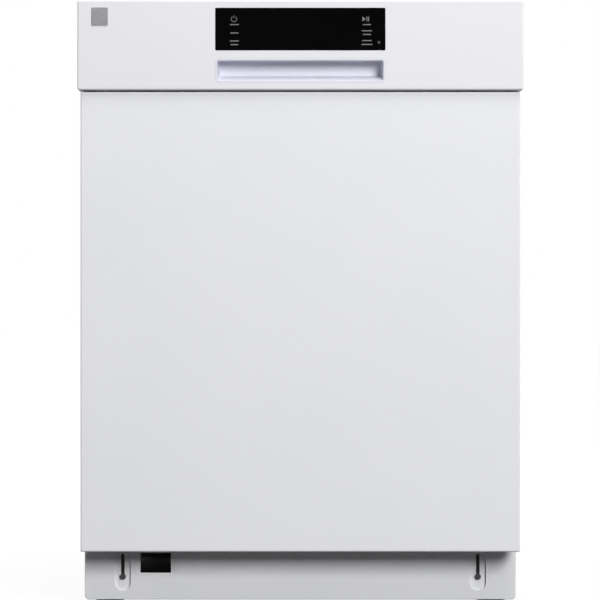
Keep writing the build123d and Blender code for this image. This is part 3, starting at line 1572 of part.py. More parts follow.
def wheel_pair(wheel_y):
    """The left and right wheels on one axle line: a rounded tread, a web and a hub."""
    with BuildPart() as wheels:
        with BuildSketch(side_plane(wheel_x)):
            with Locations((wheel_y, axle_z)):
                Circle(wheel_radius)
        extrude(amount=wheel_width)
        fillet(wheels.edges().filter_by(GeomType.CIRCLE), wheel_width / 5)
        with BuildSketch(side_plane(wheel_x + wheel_width)):
            with Locations((wheel_y, axle_z)):
                Circle(wheel_radius - 2 * wall)
                Circle(wheel_bore + wall, mode=Mode.SUBTRACT)
        extrude(amount=-wheel_width / 2, mode=Mode.SUBTRACT)
        with BuildSketch(side_plane(wheel_x)):
            with Locations((wheel_y, axle_z)):
                Circle(wheel_bore + shaft_gap)
        extrude(amount=wheel_width, mode=Mode.SUBTRACT)
        mirror(about=Plane.YZ)
    return wheels.part


front_rack_wheels = wheel_pair(wheel_front_y)
rear_rack_wheels = wheel_pair(wheel_rear_y)

# Cutlery basket: a tapered slotted box with dividers and a carrying handle
basket_floor = rack_floor + wire_step + wire / 2 + weld_gap
basket_rim = basket_floor + basket_height
with BuildPart() as cutlery_basket:
    with BuildSketch(level(basket_floor)):
        with Locations((basket_x, basket_y)):
            RectangleRounded(basket_width, basket_length, 4 * basket_wall)
    extrude(amount=basket_height, taper=-basket_taper)
    with BuildSketch(level(basket_floor + basket_wall)):
        with Locations((basket_x, basket_y)):
            RectangleRounded(basket_width - 2 * basket_wall, basket_length - 2 * basket_wall, 3 * basket_wall)
    extrude(amount=basket_height, taper=-basket_taper, mode=Mode.SUBTRACT)
    with BuildSketch(front_plane(basket_y + basket_length)):
        with Locations((basket_x, basket_floor + basket_height / 2)):
            with GridLocations(2 * basket_slot_width, 1, basket_short_slots, 1):
                RectangleRounded(basket_slot_width, basket_slot_height, basket_slot_width / 3)
    extrude(amount=2 * basket_length, mode=Mode.SUBTRACT)
    with BuildSketch(side_plane(basket_x - basket_width)):
        with Locations((basket_y, basket_floor + basket_height / 2)):
            with GridLocations(2 * basket_slot_width, 1, basket_long_slots, 1):
                RectangleRounded(basket_slot_width, basket_slot_height, basket_slot_width / 3)
    extrude(amount=2 * basket_width, mode=Mode.SUBTRACT)
    with BuildSketch(side_plane(basket_x - 2 * basket_wall)):
        with BuildLine():
            FilletPolyline(
                (basket_y - basket_length / 2 + basket_wall, basket_floor + basket_wall / 2),
                (basket_y - basket_length / 2 + basket_wall, basket_rim + basket_handle_rise),
                (basket_y + basket_length / 2 - basket_wall, basket_rim + basket_handle_rise),
                (basket_y + basket_length / 2 - basket_wall, basket_floor + basket_wall / 2),
                radius=basket_handle_rise,
            )
        trace(line_width=2 * basket_wall)
    extrude(amount=4 * basket_wall)
    span(
        (basket_x - basket_width / 2 + basket_wall / 2, basket_x + basket_width / 2 - basket_wall / 2),
        (basket_y - basket_wall / 2, basket_y + basket_wall / 2),
        (basket_floor, basket_rim - 4 * basket_wall),
    )

# Upper rack: floor wires, upright wires, a ring, tines, and clips that hold the cup shelves' rods
upper_mid = (upper_rack_front + upper_rack_back) / 2
upper_long = row(upper_long_count, upper_long_pitch)
upper_cross = row(upper_cross_count, upper_cross_pitch, upper_mid)
upper_front = upper_rack_front - wire / 2 - weld_gap
upper_back = upper_rack_back + wire / 2 + weld_gap
upper_tine_foot = upper_rack_level + wire_step + wire / 2 + weld_gap
upper_tine_x = [x + upper_long_pitch / 2 for x in upper_long[1:7:2]]
shelf_x = upper_rack_half - wire / 2 - weld_gap - shelf_clip
clip_places = (upper_cross[2], upper_cross[-3])
shelf_span = clip_places[1] - clip_places[0]
with BuildPart() as upper_rack:
    rods_along_y([(x, upper_rack_level) for x in upper_long], upper_rack_back, upper_rack_front)
    rods_along_x(
        [(y, upper_rack_level + wire_step) for y in upper_cross],
        -upper_rack_half + wire / 2 + weld_gap,
        upper_rack_half - wire / 2 - weld_gap,
    )
    for place_y in (upper_front, upper_back):
        rods_upright([(x, place_y) for x in upper_long], upper_rack_level - wire / 2, upper_rim, wire)
    for side in (-1, 1):
        rods_upright([(side * upper_rack_half, y) for y in upper_cross], upper_rack_level, upper_rim, wire)
    ring(upper_rack_half, upper_front, upper_back, upper_rim - wire / 2)
    rods_upright(
        [(x, y) for x in upper_tine_x for y in upper_cross],
        upper_tine_foot,
        upper_tine_foot + upper_tine_height,
        tine,
    )
    for side in (-1, 1):
        for clip_y in clip_places:
            with BuildSketch(front_plane(clip_y + shelf_clip)):
                with Locations((side * shelf_x, shelf_level)):
                    Rectangle(2 * shelf_clip, 2 * shelf_clip)
                    Circle(shelf_rod_radius + shaft_gap, mode=Mode.SUBTRACT)
            extrude(amount=2 * shelf_clip)

# Folding cup shelves: a round rod that turns in the clips, prongs, and a bar along their tips
prong_pitch = (shelf_span - 4 * shelf_clip) / shelf_prongs
with BuildPart() as right_cup_shelf:
    with BuildSketch(front_plane(clip_places[1] + 2 * shelf_clip)):
        with Locations((shelf_x, shelf_level)):
            Circle(shelf_rod_radius)
    extrude(amount=shelf_span + 4 * shelf_clip)
    with BuildSketch(side_plane(shelf_x)):
        with Locations((upper_mid, shelf_level)):
            with GridLocations(prong_pitch, 1, shelf_prongs, 1):
                RegularPolygon(tine / 2, 6)
    extrude(amount=-shelf_reach)
    with BuildSketch(front_plane(upper_mid + prong_pitch * shelf_prongs / 2)):
        with Locations((shelf_x - shelf_reach, shelf_level)):
            RegularPolygon(shelf_rod_radius, 6)
    extrude(amount=prong_pitch * shelf_prongs)

with BuildPart() as left_cup_shelf:
    mirror(right_cup_shelf.part, about=Plane.YZ)

# Telescopic slides of the upper rack: channels on the tub walls, sliders in them, and runners on the rack
slider_height = rail_height - 2 * (rail_sheet + rail_gap)
runner_height = slider_height - 2 * (rail_sheet + rail_gap)
rail_open = tub_half - rail_depth


def channel_section(web_x, height):
    """The folded section of a rail, open towards the middle of the tub."""
    with BuildSketch(front_plane(rail_back)) as section:
        with BuildLine():
            Polyline(
                (rail_open, rail_level + height / 2 - rail_sheet / 2),
                (web_x, rail_level + height / 2 - rail_sheet / 2),
                (web_x, rail_level - height / 2 + rail_sheet / 2),
                (rail_open, rail_level - height / 2 + rail_sheet / 2),
            )
        trace(line_width=rail_sheet)
    return section.sketch


with BuildPart() as rail_channels:
    extrude(channel_section(tub_half - rail_sheet / 2, rail_height), amount=rail_length)
    mirror(about=Plane.YZ)

with BuildPart() as rail_sliders:
    extrude(channel_section(tub_half - 1.5 * rail_sheet - rail_gap, slider_height), amount=rail_length)
    mirror(about=Plane.YZ)

runner_outer = tub_half - 2 * (rail_sheet + rail_gap)
runner_inner = rail_open - rail_gap
hanger_x = upper_rack_half + wire / 2 + weld_gap
with BuildPart() as rack_runners:
    with BuildSketch(front_plane(rail_back)):
        with Locations(((runner_outer + runner_inner) / 2, rail_level)):
            RectangleRounded(runner_outer - runner_inner, runner_height, rail_sheet)
    extrude(amount=rail_length)
    with BuildSketch(side_plane(hanger_x)):
        with Locations(*[(y, rail_level) for y in clip_places]):
            RectangleRounded(hanger_length, runner_height, wall)
    extrude(amount=runner_inner + rail_sheet - hanger_x)
    mirror(about=Plane.YZ)

# Every piece gets its name and its own file
pieces = {
    "base_tray": base_tray.part,
    "left_side_panel": left_side_panel.part,
    "right_side_panel": right_side_panel.part,
    "tub_wrap": tub_wrap.part,
    "tub_back": tub_back.part,
    "tub_floor": tub_floor.part,
    "door_gasket": door_gasket.part,
    "lower_seal": lower_seal.part,
    "sound_mat": sound_mat.part,
    "mounting_brackets": mounting_brackets.part,
    "latch_strike": latch_strike.part,
    "sump": sump.part,
    "circulation_pump": circulation_pump.part,
    "water_heater": water_heater.part,
    "drain_pump": drain_pump.part,
    "drain_outlet": drain_outlet.part,
    "inlet_valve": inlet_valve.part,
    "junction_box": junction_box.part,
    "air_break": air_break.part,
    "riser_tube": riser_tube.part,
    "top_sprayer": top_sprayer.part,
    "filter_plate": filter_plate.part,
    "filter_cylinder": filter_cylinder.part,
    "float_dome": float_dome.part,
    "rail_channels": rail_channels.part,
    "rail_sliders": rail_sliders.part,
    "rack_runners": rack_runners.part,
    "hinge_brackets": hinge_brackets.part,
    "hinge_pins": hinge_pins.part,
    "hinge_arms": hinge_arms.part,
    "spring_straps": spring_straps.part,
    "door_springs": door_springs.part,
    "toe_kick_panel": toe_kick_panel.part,
    "toe_kick_screws": toe_kick_screws.part,
    "outer_panel": outer_panel.part,
    "door_liner": door_liner.part,
    "console": console.part,
    "control_glass": control_glass.part,
    "control_board": control_board.part,
    "handle_cup": handle_cup.part,
    "release_paddle": release_paddle.part,
    "door_latch": door_latch.part,
    "dispenser_body": dispenser_body.part,
    "dispenser_lid": dispenser_lid.part,
    "rinse_aid_cap": rinse_aid_cap.part,
    "lower_rack": lower_rack.part,
    "front_rack_wheels": front_rack_wheels,
    "rear_rack_wheels": rear_rack_wheels,
    "cutlery_basket": cutlery_basket.part,
    "upper_rack": upper_rack.part,
    "upper_feed_pipe": upper_feed_pipe.part,
    "left_cup_shelf": left_cup_shelf.part,
    "right_cup_shelf": right_cup_shelf.part,
    "lower_spray_arm": lower_spray_arm,
    "upper_spray_arm": upper_spray_arm,
    **feet,
}
os.makedirs("parts", exist_ok=True)
for name, piece in pieces.items():
    piece.label = name
    export_step(piece, f"parts/{name}.step")
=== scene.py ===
import math

import bmesh
import bpy
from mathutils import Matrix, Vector


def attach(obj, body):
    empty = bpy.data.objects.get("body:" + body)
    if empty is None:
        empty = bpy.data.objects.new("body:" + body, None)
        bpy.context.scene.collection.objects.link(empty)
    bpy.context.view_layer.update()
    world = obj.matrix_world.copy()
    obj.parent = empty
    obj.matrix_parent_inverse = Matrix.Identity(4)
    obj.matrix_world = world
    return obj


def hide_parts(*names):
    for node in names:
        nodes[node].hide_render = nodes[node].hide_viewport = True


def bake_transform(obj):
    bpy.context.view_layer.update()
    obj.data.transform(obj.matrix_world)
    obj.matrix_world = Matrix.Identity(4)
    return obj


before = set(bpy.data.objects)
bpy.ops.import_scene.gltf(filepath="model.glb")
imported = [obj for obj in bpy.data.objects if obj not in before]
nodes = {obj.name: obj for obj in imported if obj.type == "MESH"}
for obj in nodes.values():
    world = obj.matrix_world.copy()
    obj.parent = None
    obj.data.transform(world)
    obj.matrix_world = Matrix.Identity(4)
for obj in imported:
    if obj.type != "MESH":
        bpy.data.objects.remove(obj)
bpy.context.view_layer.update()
scene = bpy.context.scene

# Lengths are in metres, in the frame of the solids: x to the right, y to the back, z up
FRONT = -0.3025
HEIGHT = 0.815

# The square picture: its width in pixels, a pixel's length on the front plane, and the object's middle column
PICTURE = 600
FACE_SCALE = 0.00134
FACE_MIDDLE = 300.85


def on_face(column, line):
    """Where a pixel of the picture falls on the console's front plane, as x and z."""
    return (column - FACE_MIDDLE) * FACE_SCALE, HEIGHT - line * FACE_SCALE


# Materials

NOISE_LOW, NOISE_HIGH = 0.3, 0.7


def new_material(name):
    material = bpy.data.materials.new(name)
    material.use_nodes = True
    return material, material.node_tree, material.node_tree.nodes["Principled BSDF"]


def noise(tree, scale, stretch=(1, 1, 1), detail=3.0):
    """A noise in the object's own space, stretched along its axes."""
    coords = tree.nodes.new("ShaderNodeTexCoord")
    mapping = tree.nodes.new("ShaderNodeMapping")
    mapping.inputs["Scale"].default_value = stretch
    texture = tree.nodes.new("ShaderNodeTexNoise")
    texture.inputs["Scale"].default_value = scale
    texture.inputs["Detail"].default_value = detail
    tree.links.new(coords.outputs["Object"], mapping.inputs["Vector"])
    tree.links.new(mapping.outputs["Vector"], texture.inputs["Vector"])
    return texture.outputs["Fac"]


def between(tree, value, low, high):
    """Maps a noise's middle range onto low to high."""
    mapped = tree.nodes.new("ShaderNodeMapRange")
    mapped.inputs["From Min"].default_value = NOISE_LOW
    mapped.inputs["From Max"].default_value = NOISE_HIGH
    mapped.inputs["To Min"].default_value = low
    mapped.inputs["To Max"].default_value = high
    tree.links.new(value, mapped.inputs["Value"])
    return mapped.outputs["Result"]


def combined(tree, operation, first, second):
    """The result of a maths node on two values."""
    made = tree.nodes.new("ShaderNodeMath")
    made.operation = operation
    tree.links.new(first, made.inputs[0])
    tree.links.new(second, made.inputs[1])
    return made.outputs["Value"]


def relief(tree, shader, value, depth):
    """Bump from a value, with its height in metres."""
    bump = tree.nodes.new("ShaderNodeBump")
    bump.inputs["Strength"].default_value = 1.0
    bump.inputs["Distance"].default_value = depth
    tree.links.new(value, bump.inputs["Height"])
    tree.links.new(bump.outputs["Normal"], shader.inputs["Normal"])


def surface(
    name, color, shade, *,
    rough, grain, depth, spread=0.08, patch=7.0, stretch=(1, 1, 1), metallic=0.0, **sockets,
):
    """Colour that drifts from color to shade in soft patches, with a fine grain in roughness and relief.

    grain and patch are frequencies per metre, depth is the grain's height in metres, and spread is how far
    the roughness strays. Other sockets of the shader are given by name, with underscores for spaces.
    """
    material, tree, shader = new_material(name)
    mix = tree.nodes.new("ShaderNodeMix")
    mix.data_type = "RGBA"
    mix.inputs["A"].default_value = (*color, 1)
    mix.inputs["B"].default_value = (*shade, 1)
    tree.links.new(between(tree, noise(tree, patch), 0.0, 1.0), mix.inputs["Factor"])
    tree.links.new(mix.outputs["Result"], shader.inputs["Base Color"])
    fine = noise(tree, grain, stretch)
    tree.links.new(between(tree, fine, rough - spread, rough + spread), shader.inputs["Roughness"])
    relief(tree, shader, fine, depth)
    shader.inputs["Metallic"].default_value = metallic
    for socket, value in sockets.items():
        shader.inputs[socket.replace("_", " ")].default_value = value
    return material


def perforated(name, color, hole_shade_color, *, rough, grain, depth, pitch, hole, rim, spread=0.08, metallic=0.9):
    """Metal sheet with round holes on a square grid, drawn as sunk dots painted dark with the shade seen
    through a hole.

    pitch is in metres. hole and rim are the dot's radius and soft edge, as shares of the pitch.
    """
    material, tree, shader = new_material(name)
    coords = tree.nodes.new("ShaderNodeTexCoord")
    cells = tree.nodes.new("ShaderNodeTexVoronoi")
    cells.inputs["Scale"].default_value = 1 / pitch
    cells.inputs["Randomness"].default_value = 0.0
    tree.links.new(coords.outputs["Object"], cells.inputs["Vector"])
    ramp = tree.nodes.new("ShaderNodeValToRGB")
    # Each dot's middle colour is painted shade, standing for the dark seen through a hole
    inside, outside = ramp.color_ramp.elements
    inside.position = hole
    inside.color = (*hole_shade_color, 1)
    outside.position = hole + rim
    outside.color = (*color, 1)
    tree.links.new(cells.outputs["Distance"], ramp.inputs["Fac"])
    tree.links.new(ramp.outputs["Color"], shader.inputs["Base Color"])
    fine = noise(tree, grain)
    tree.links.new(between(tree, fine, rough - spread, rough + spread), shader.inputs["Roughness"])
    relief(tree, shader, cells.outputs["Distance"], depth)
    shader.inputs["Metallic"].default_value = metallic
    return material


enamel = surface(
    "white_enamel", (0.82, 0.825, 0.85), (0.805, 0.811, 0.837),
    rough=0.46, grain=420.0, depth=0.000018, spread=0.06, Specular_IOR_Level=0.4,
)
kick_paint = surface(
    "kick_paint", (0.82, 0.825, 0.85), (0.8, 0.806, 0.832),
    rough=0.6, grain=420.0, depth=0.00002, spread=0.06, Specular_IOR_Level=0.2,
)
console_white = surface(
    "console_white", (0.80, 0.80, 0.83), (0.786, 0.787, 0.818),
    rough=0.48, grain=800.0, depth=0.000012, spread=0.06, Specular_IOR_Level=0.4,
)
pocket_white = surface(
    "pocket_white", (0.77, 0.77, 0.85), (0.75, 0.75, 0.835),
    rough=0.42, grain=900.0, depth=0.00002,
)
black_glass = surface(
    "black_glass", (0.0008, 0.0008, 0.001), (0.0012, 0.0012, 0.0015),
    rough=0.1, grain=60.0, depth=0.000001, spread=0.04, Specular_IOR_Level=0.03,
)
symbol_grey = surface(
    "symbol_grey", (0.17, 0.17, 0.175), (0.14, 0.14, 0.145),
    rough=0.5, grain=1500.0, depth=0.000005,
)
stainless = surface(
    "stainless", (0.60, 0.60, 0.595), (0.54, 0.54, 0.54),
    rough=0.27, grain=900.0, depth=0.000012, stretch=(1, 1, 0.02), metallic=1.0, Anisotropic=0.3,
)
rolled_steel = surface(
    "rolled_steel", (0.55, 0.55, 0.545), (0.50, 0.50, 0.50),
    rough=0.3, grain=900.0, depth=0.000012, stretch=(1, 0.02, 1), metallic=1.0, Anisotropic=0.3,
)
galvanised = surface(
    "galvanised", (0.50, 0.515, 0.53), (0.40, 0.415, 0.43),
    rough=0.42, grain=160.0, depth=0.00001, spread=0.12, patch=70.0, metallic=0.9,
)
zinc_screw = surface(
    "zinc_screw", (0.62, 0.62, 0.60), (0.52, 0.52, 0.5),
    rough=0.3, grain=1500.0, depth=0.00001, metallic=1.0,
)
# The toe-kick screws are near-black metal: their dark colour is partly painted shade of the slots they sit in
screw_with_painted_shade = surface(
    "screw_with_painted_shade", (0.05, 0.05, 0.053), (0.035, 0.035, 0.037),
    rough=0.45, grain=1500.0, depth=0.00002, metallic=1.0,
)
base_black = surface(
    "base_black", (0.012, 0.012, 0.013), (0.018, 0.018, 0.019),
    rough=0.6, grain=700.0, depth=0.00004, Specular_IOR_Level=0.15,
)
motor_black = surface(
    "motor_black", (0.04, 0.04, 0.043), (0.055, 0.055, 0.058),
    rough=0.5, grain=500.0, depth=0.00003,
)
grey_plastic = surface(
    "grey_plastic", (0.30, 0.31, 0.33), (0.27, 0.28, 0.30),
    rough=0.45, grain=800.0, depth=0.00003,
)
pale_plastic = surface(
    "pale_plastic", (0.62, 0.63, 0.65), (0.58, 0.59, 0.61),
    rough=0.42, grain=800.0, depth=0.00003,
)
natural_plastic = surface(
    "natural_plastic", (0.68, 0.66, 0.60), (0.60, 0.58, 0.52),
    rough=0.5, grain=400.0, depth=0.00004,
)
rubber = surface(
    "rubber", (0.035, 0.035, 0.036), (0.05, 0.05, 0.05),
    rough=0.7, grain=600.0, depth=0.00005,
)
bitumen = surface(
    "bitumen", (0.025, 0.025, 0.024), (0.045, 0.044, 0.042),
    rough=0.85, grain=140.0, depth=0.0003, patch=30.0,
)
coated_wire = surface(
    "coated_wire", (0.50, 0.51, 0.53), (0.44, 0.45, 0.47),
    rough=0.4, grain=1200.0, depth=0.00002,
)
circuit_green = surface(
    "circuit_green", (0.02, 0.12, 0.06), (0.015, 0.09, 0.05),
    rough=0.35, grain=300.0, depth=0.00003, patch=120.0,
)
brushed_plate = surface(
    "brushed_plate", (0.27, 0.27, 0.28), (0.22, 0.22, 0.23),
    rough=0.34, grain=2500.0, depth=0.00001, stretch=(0.02, 1, 1), metallic=1.0, Anisotropic=0.4,
)
# The filter's holes are dots painted dark with shade, in the colour of the sheet
filter_mesh = perforated(
    "filter_mesh", (0.5, 0.5, 0.5), (0.01, 0.01, 0.01),
    rough=0.35, grain=900.0, depth=0.0004, pitch=0.0035, hole=0.28, rim=0.08,
)

node_material = {
    "outer_panel": enamel,
    "toe_kick_panel": kick_paint,
    "console": console_white,
    "handle_cup": pocket_white,
    "release_paddle": pocket_white,
    "control_glass": black_glass,
    "control_board": circuit_green,
    "tub_wrap": stainless,
    "tub_back": stainless,
    "door_liner": stainless,
    "tub_floor": rolled_steel,
    "rail_channels": rolled_steel,
    "rail_sliders": rolled_steel,
    "latch_strike": zinc_screw,
    "filter_plate": filter_mesh,
    "left_side_panel": galvanised,
    "right_side_panel": galvanised,
    "mounting_brackets": galvanised,
    "hinge_brackets": galvanised,
    "hinge_arms": galvanised,
    "spring_straps": galvanised,
    "hinge_pins": zinc_screw,
    "toe_kick_screws": screw_with_painted_shade,
    "base_tray": base_black,
    "sump": base_black,
    "drain_pump": motor_black,
    "drain_outlet": grey_plastic,
    "inlet_valve": pale_plastic,
    "junction_box": galvanised,
    "circulation_pump": motor_black,
    "water_heater": natural_plastic,
    "air_break": natural_plastic,
    "door_latch": motor_black,
    "lower_spray_arm": grey_plastic,
    "upper_spray_arm": grey_plastic,
    "riser_tube": grey_plastic,
    "top_sprayer": grey_plastic,
    "upper_feed_pipe": grey_plastic,
    "float_dome": pale_plastic,
    "filter_cylinder": grey_plastic,
    "front_rack_wheels": grey_plastic,
    "rear_rack_wheels": grey_plastic,
    "cutlery_basket": grey_plastic,
    "dispenser_body": grey_plastic,
    "dispenser_lid": pale_plastic,
    "rinse_aid_cap": pale_plastic,
    "rack_runners": pale_plastic,
    "door_gasket": rubber,
    "lower_seal": rubber,
    "sound_mat": bitumen,
    "front_left_foot": motor_black,
    "front_right_foot": motor_black,
    "rear_left_foot": motor_black,
    "rear_right_foot": motor_black,
    "lower_rack": coated_wire,
    "upper_rack": coated_wire,
    "left_cup_shelf": coated_wire,
    "right_cup_shelf": coated_wire,
    "door_springs": zinc_screw,
}
for node, material in node_material.items():
    nodes[node].data.materials.clear()
    nodes[node].data.materials.append(material)

# Mesh helpers


def add_object(name, mesh, material, body):
    """Puts a mesh in the scene, riding on a body unless that is None."""
    piece = bpy.data.objects.new(name, mesh)
    scene.collection.objects.link(piece)
    mesh.materials.clear()
    mesh.materials.append(material)
    if body:
        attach(piece, body)
    return piece


def from_bmesh(name, bm):
    bmesh.ops.recalc_face_normals(bm, faces=bm.faces)
    mesh = bpy.data.meshes.new(name)
    bm.to_mesh(mesh)
    bm.free()
    return mesh


def raised_outlines(name, outlines, plane, height):
    """Flat outlines given as x and z, standing a little proud of an upright plane towards the front."""
    bm = bmesh.new()
    for outline in outlines:
        face = bm.faces.new([bm.verts.new((x, plane, z)) for x, z in outline])
        moved = bmesh.ops.extrude_face_region(bm, geom=[face])["geom"]
        raised = [item for item in moved if isinstance(item, bmesh.types.BMVert)]
        bmesh.ops.translate(bm, verts=raised, vec=(0, -height, 0))
    return from_bmesh(name, bm)


def rectangle(x, z, width, height):
    return [
        (x - width / 2, z - height / 2),
        (x + width / 2, z - height / 2),
        (x + width / 2, z + height / 2),
        (x - width / 2, z + height / 2),
    ]


def arc_band(x, z, radius, width, start, end, steps):
    """A band along an arc, as one quad per step. The radius is the outer one, the angles are in degrees."""
    quads = []
    for step in range(steps):
        a = math.radians(start + (end - start) * step / steps)
        b = math.radians(start + (end - start) * (step + 1) / steps)
        corners = ((a, radius), (b, radius), (b, radius - width), (a, radius - width))
        quads.append([(x + math.cos(angle) * r, z + math.sin(angle) * r) for angle, r in corners])
    return quads


def rounded_outline(width, height, radius, steps=5):
    """A rectangle about the origin with round corners."""
    points = []
    for turn, (sx, sz) in enumerate(((1, 1), (-1, 1), (-1, -1), (1, -1))):
        middle_x = sx * (width / 2 - radius)
        middle_z = sz * (height / 2 - radius)
        for step in range(steps + 1):
            angle = math.radians(90 * turn + 90 * step / steps)
            points.append((middle_x + radius * math.cos(angle), middle_z + radius * math.sin(angle)))
    return points


def bent(points, radius, steps=5):
    """A polyline with its inner corners turned into arcs."""
    path = [Vector(points[0])]
    for before, corner, after in zip(points, points[1:], points[2:]):
        corner = Vector(corner)
        back = (Vector(before) - corner).normalized()
        ahead = (Vector(after) - corner).normalized()
        turn = math.pi - back.angle(ahead)
        reach = radius * math.tan(turn / 2)
        middle = corner + (back + ahead).normalized() * (radius / math.cos(turn / 2))
        start = corner + back * reach - middle
        end = corner + ahead * reach - middle
        for step in range(steps + 1):
            angle = turn * step / steps
            path.append(middle + (start * math.sin(turn - angle) + end * math.sin(angle)) / math.sin(turn))
    path.append(Vector(points[-1]))
    return path


def wires(name, paths, radius, closed=()):
    """Round wire along each path, as one mesh. The closed paths end where they start."""
    curve = bpy.data.curves.new(name, "CURVE")
    curve.dimensions = "3D"
    curve.bevel_depth = radius
    curve.bevel_resolution = 2
    curve.use_fill_caps = True
    for index, path in enumerate(list(paths) + list(closed)):
        spline = curve.splines.new("POLY")
        spline.points.add(len(path) - 1)
        for point, place in zip(spline.points, path):
            point.co = (*place, 1)
        spline.use_cyclic_u = index >= len(paths)
    holder = bpy.data.objects.new(name, curve)
    mesh = bpy.data.meshes.new_from_object(holder)
    bpy.data.objects.remove(holder)
    bpy.data.curves.remove(curve)
    for polygon in mesh.polygons:
        polygon.use_smooth = True
    return mesh


def block(bm, low, high, bevel):
    """A box between two corners with rounded edges."""
    made = bmesh.ops.create_cube(bm, size=1.0)["verts"]
    size = [b - a for a, b in zip(low, high)]
    for vert in made:
        vert.co = Vector([a + (c + 0.5) * s for a, c, s in zip(low, vert.co, size)])
    edges = {edge for vert in made for edge in vert.link_edges}
    bmesh.ops.bevel(bm, geom=list(edges), offset=bevel, segments=3, affect="EDGES")


def rod(bm, start, end, radius, sides=20):
    """A round bar between two points."""
    start, end = Vector(start), Vector(end)
    turn = (end - start).to_track_quat("Z", "Y").to_matrix()
    circles = []
    for place in (start, end):
        circle = []
        for side in range(sides):
            angle = 2 * math.pi * side / sides
            spoke = Vector((radius * math.cos(angle), radius * math.sin(angle), 0))
            circle.append(bm.verts.new(place + turn @ spoke))
        circles.append(circle)
    for side in range(sides):
        after = (side + 1) % sides
        bm.faces.new((circles[0][side], circles[0][after], circles[1][after], circles[1][side]))
    bm.faces.new(circles[0])
    bm.faces.new(circles[1])


def joined(name, *meshes):
    bm = bmesh.new()
    for mesh in meshes:
        bm.from_mesh(mesh)
    return from_bmesh(name, bm)


def row(count, pitch, middle=0.0):
    """Evenly spaced places about a middle."""
    return [middle + pitch * (index - (count - 1) / 2) for index in range(count)]


# Symbols on the control glass: a power ring, a start and pause pair, short bars where keys are, and a dot
SYMBOL_RISE = 0.00008
STROKE = 0.0007
POWER_RADIUS = 0.0040
POWER_START, POWER_END = 125, 415
POWER_BAR, POWER_BAR_UP = 0.0034, 0.0030
ARROW_BACK, ARROW_TIP, ARROW_HALF = 0.0040, 0.0004, 0.0032
PAUSE_PLACES, PAUSE_WIDTH = (0.0020, 0.0042), 0.0011
DOT_RADIUS, DOT_STROKE = 0.0016, 0.0006
KEY_BAR = 0.0013
# Each column's place, then its bars' rows and widths, in pixels of the picture
KEY_COLUMNS = (
    (235.0, (24.6, 33.0, 41.0, 44.6), (9.0, 8.0, 9.0, 7.5)),
    (367.5, (24.6, 30.8, 34.4, 40.6, 44.4), (8.0, 10.0, 8.0, 9.5, 11.0)),
)

symbols = []
power_x, power_z = on_face(234.5, 19.0)
symbols += arc_band(power_x, power_z, POWER_RADIUS, STROKE, POWER_START, POWER_END, 22)
symbols.append(rectangle(power_x, power_z + POWER_BAR_UP, STROKE, POWER_BAR))
start_x, start_z = on_face(366.0, 19.0)
arrow = [
    (start_x - ARROW_BACK, start_z - ARROW_HALF),
    (start_x + ARROW_TIP, start_z),
    (start_x - ARROW_BACK, start_z + ARROW_HALF),
]
symbols.append(arrow)
for offset in PAUSE_PLACES:
    symbols.append(rectangle(start_x + offset, start_z, PAUSE_WIDTH, 2 * ARROW_HALF))
for column, rows, widths in KEY_COLUMNS:
    for line, width in zip(rows, widths):
        x, z = on_face(column, line)
        symbols.append(rectangle(x, z, width * FACE_SCALE, KEY_BAR))
dot_x, dot_z = on_face(379.5, 42.5)
symbols += arc_band(dot_x, dot_z, DOT_RADIUS, DOT_STROKE, 0, 360, 14)
symbol_mesh = raised_outlines("control_symbols", symbols, FRONT, SYMBOL_RISE)
add_object("control_symbols", symbol_mesh, symbol_grey, "door")

# A bare brushed plate on the console's left corner
PLATE_WIDTH, PLATE_HEIGHT, PLATE_CORNER = 0.0222, 0.0242, 0.0012
PLATE_RISE, PLATE_EDGE = 0.0009, 0.0003
plate_x, plate_z = on_face(100.2, 16.5)
outline = [
    (plate_x + x, plate_z + z) for x, z in rounded_outline(PLATE_WIDTH, PLATE_HEIGHT, PLATE_CORNER)
]
plate = raised_outlines("corner_plate", [outline], FRONT, PLATE_RISE)
corner_plate = add_object("corner_plate", plate, brushed_plate, "door")
soften = corner_plate.modifiers.new("edge", "BEVEL")
soften.width = PLATE_EDGE
soften.segments = 2

# Both racks: radii of the wire and the tines, the step between crossing wires, and the bends
WIRE = 0.0022
TINE = 0.0017
TINE_TIP = 0.0015
STEP = 0.00455
LONG_BEND, CROSS_BEND, LOOP_BEND = 0.012, 0.010, 0.022
LONG_PITCH = 0.052
LONG = row(9, LONG_PITCH)


def loop(half, front, back, z):
    """A closed rounded loop of wire outside the upright wires."""
    middle = (front + back) / 2
    shape = rounded_outline(2 * (half + STEP), back - front + 2 * STEP, LOOP_BEND, 6)
    return [(x, middle + y, z) for x, y in shape]


def rack(name, profile, half, cross, loop_heights, tine_columns, tine_height):
    """A rack of bent round wire.

    profile runs as y and z from the rim at the back, along the floor and up to the rim at the front. half is
    half the width, cross holds the places of the crossing wires, and tines stand on them in columns.
    """
    back, top = profile[0]
    front = profile[-1][0]
    floor_z = profile[1][1]
    across = [(-half, top), (-half, floor_z + STEP), (half, floor_z + STEP), (half, top)]
    paths = [bent([(x, y, z) for y, z in profile], LONG_BEND) for x in LONG]
    paths += [bent([(x, y, z) for x, z in across], CROSS_BEND) for y in cross]
    loops = [loop(half, front, back, z) for z in loop_heights]
    foot = floor_z + STEP
    tip = foot + WIRE + tine_height
    tines = [[(x, y, foot), (x, y, tip - TINE_TIP), (x, y, tip)] for x in tine_columns for y in cross]
    return joined(name, wires("frame", paths, WIRE, loops), wires("tines", tines, TINE))


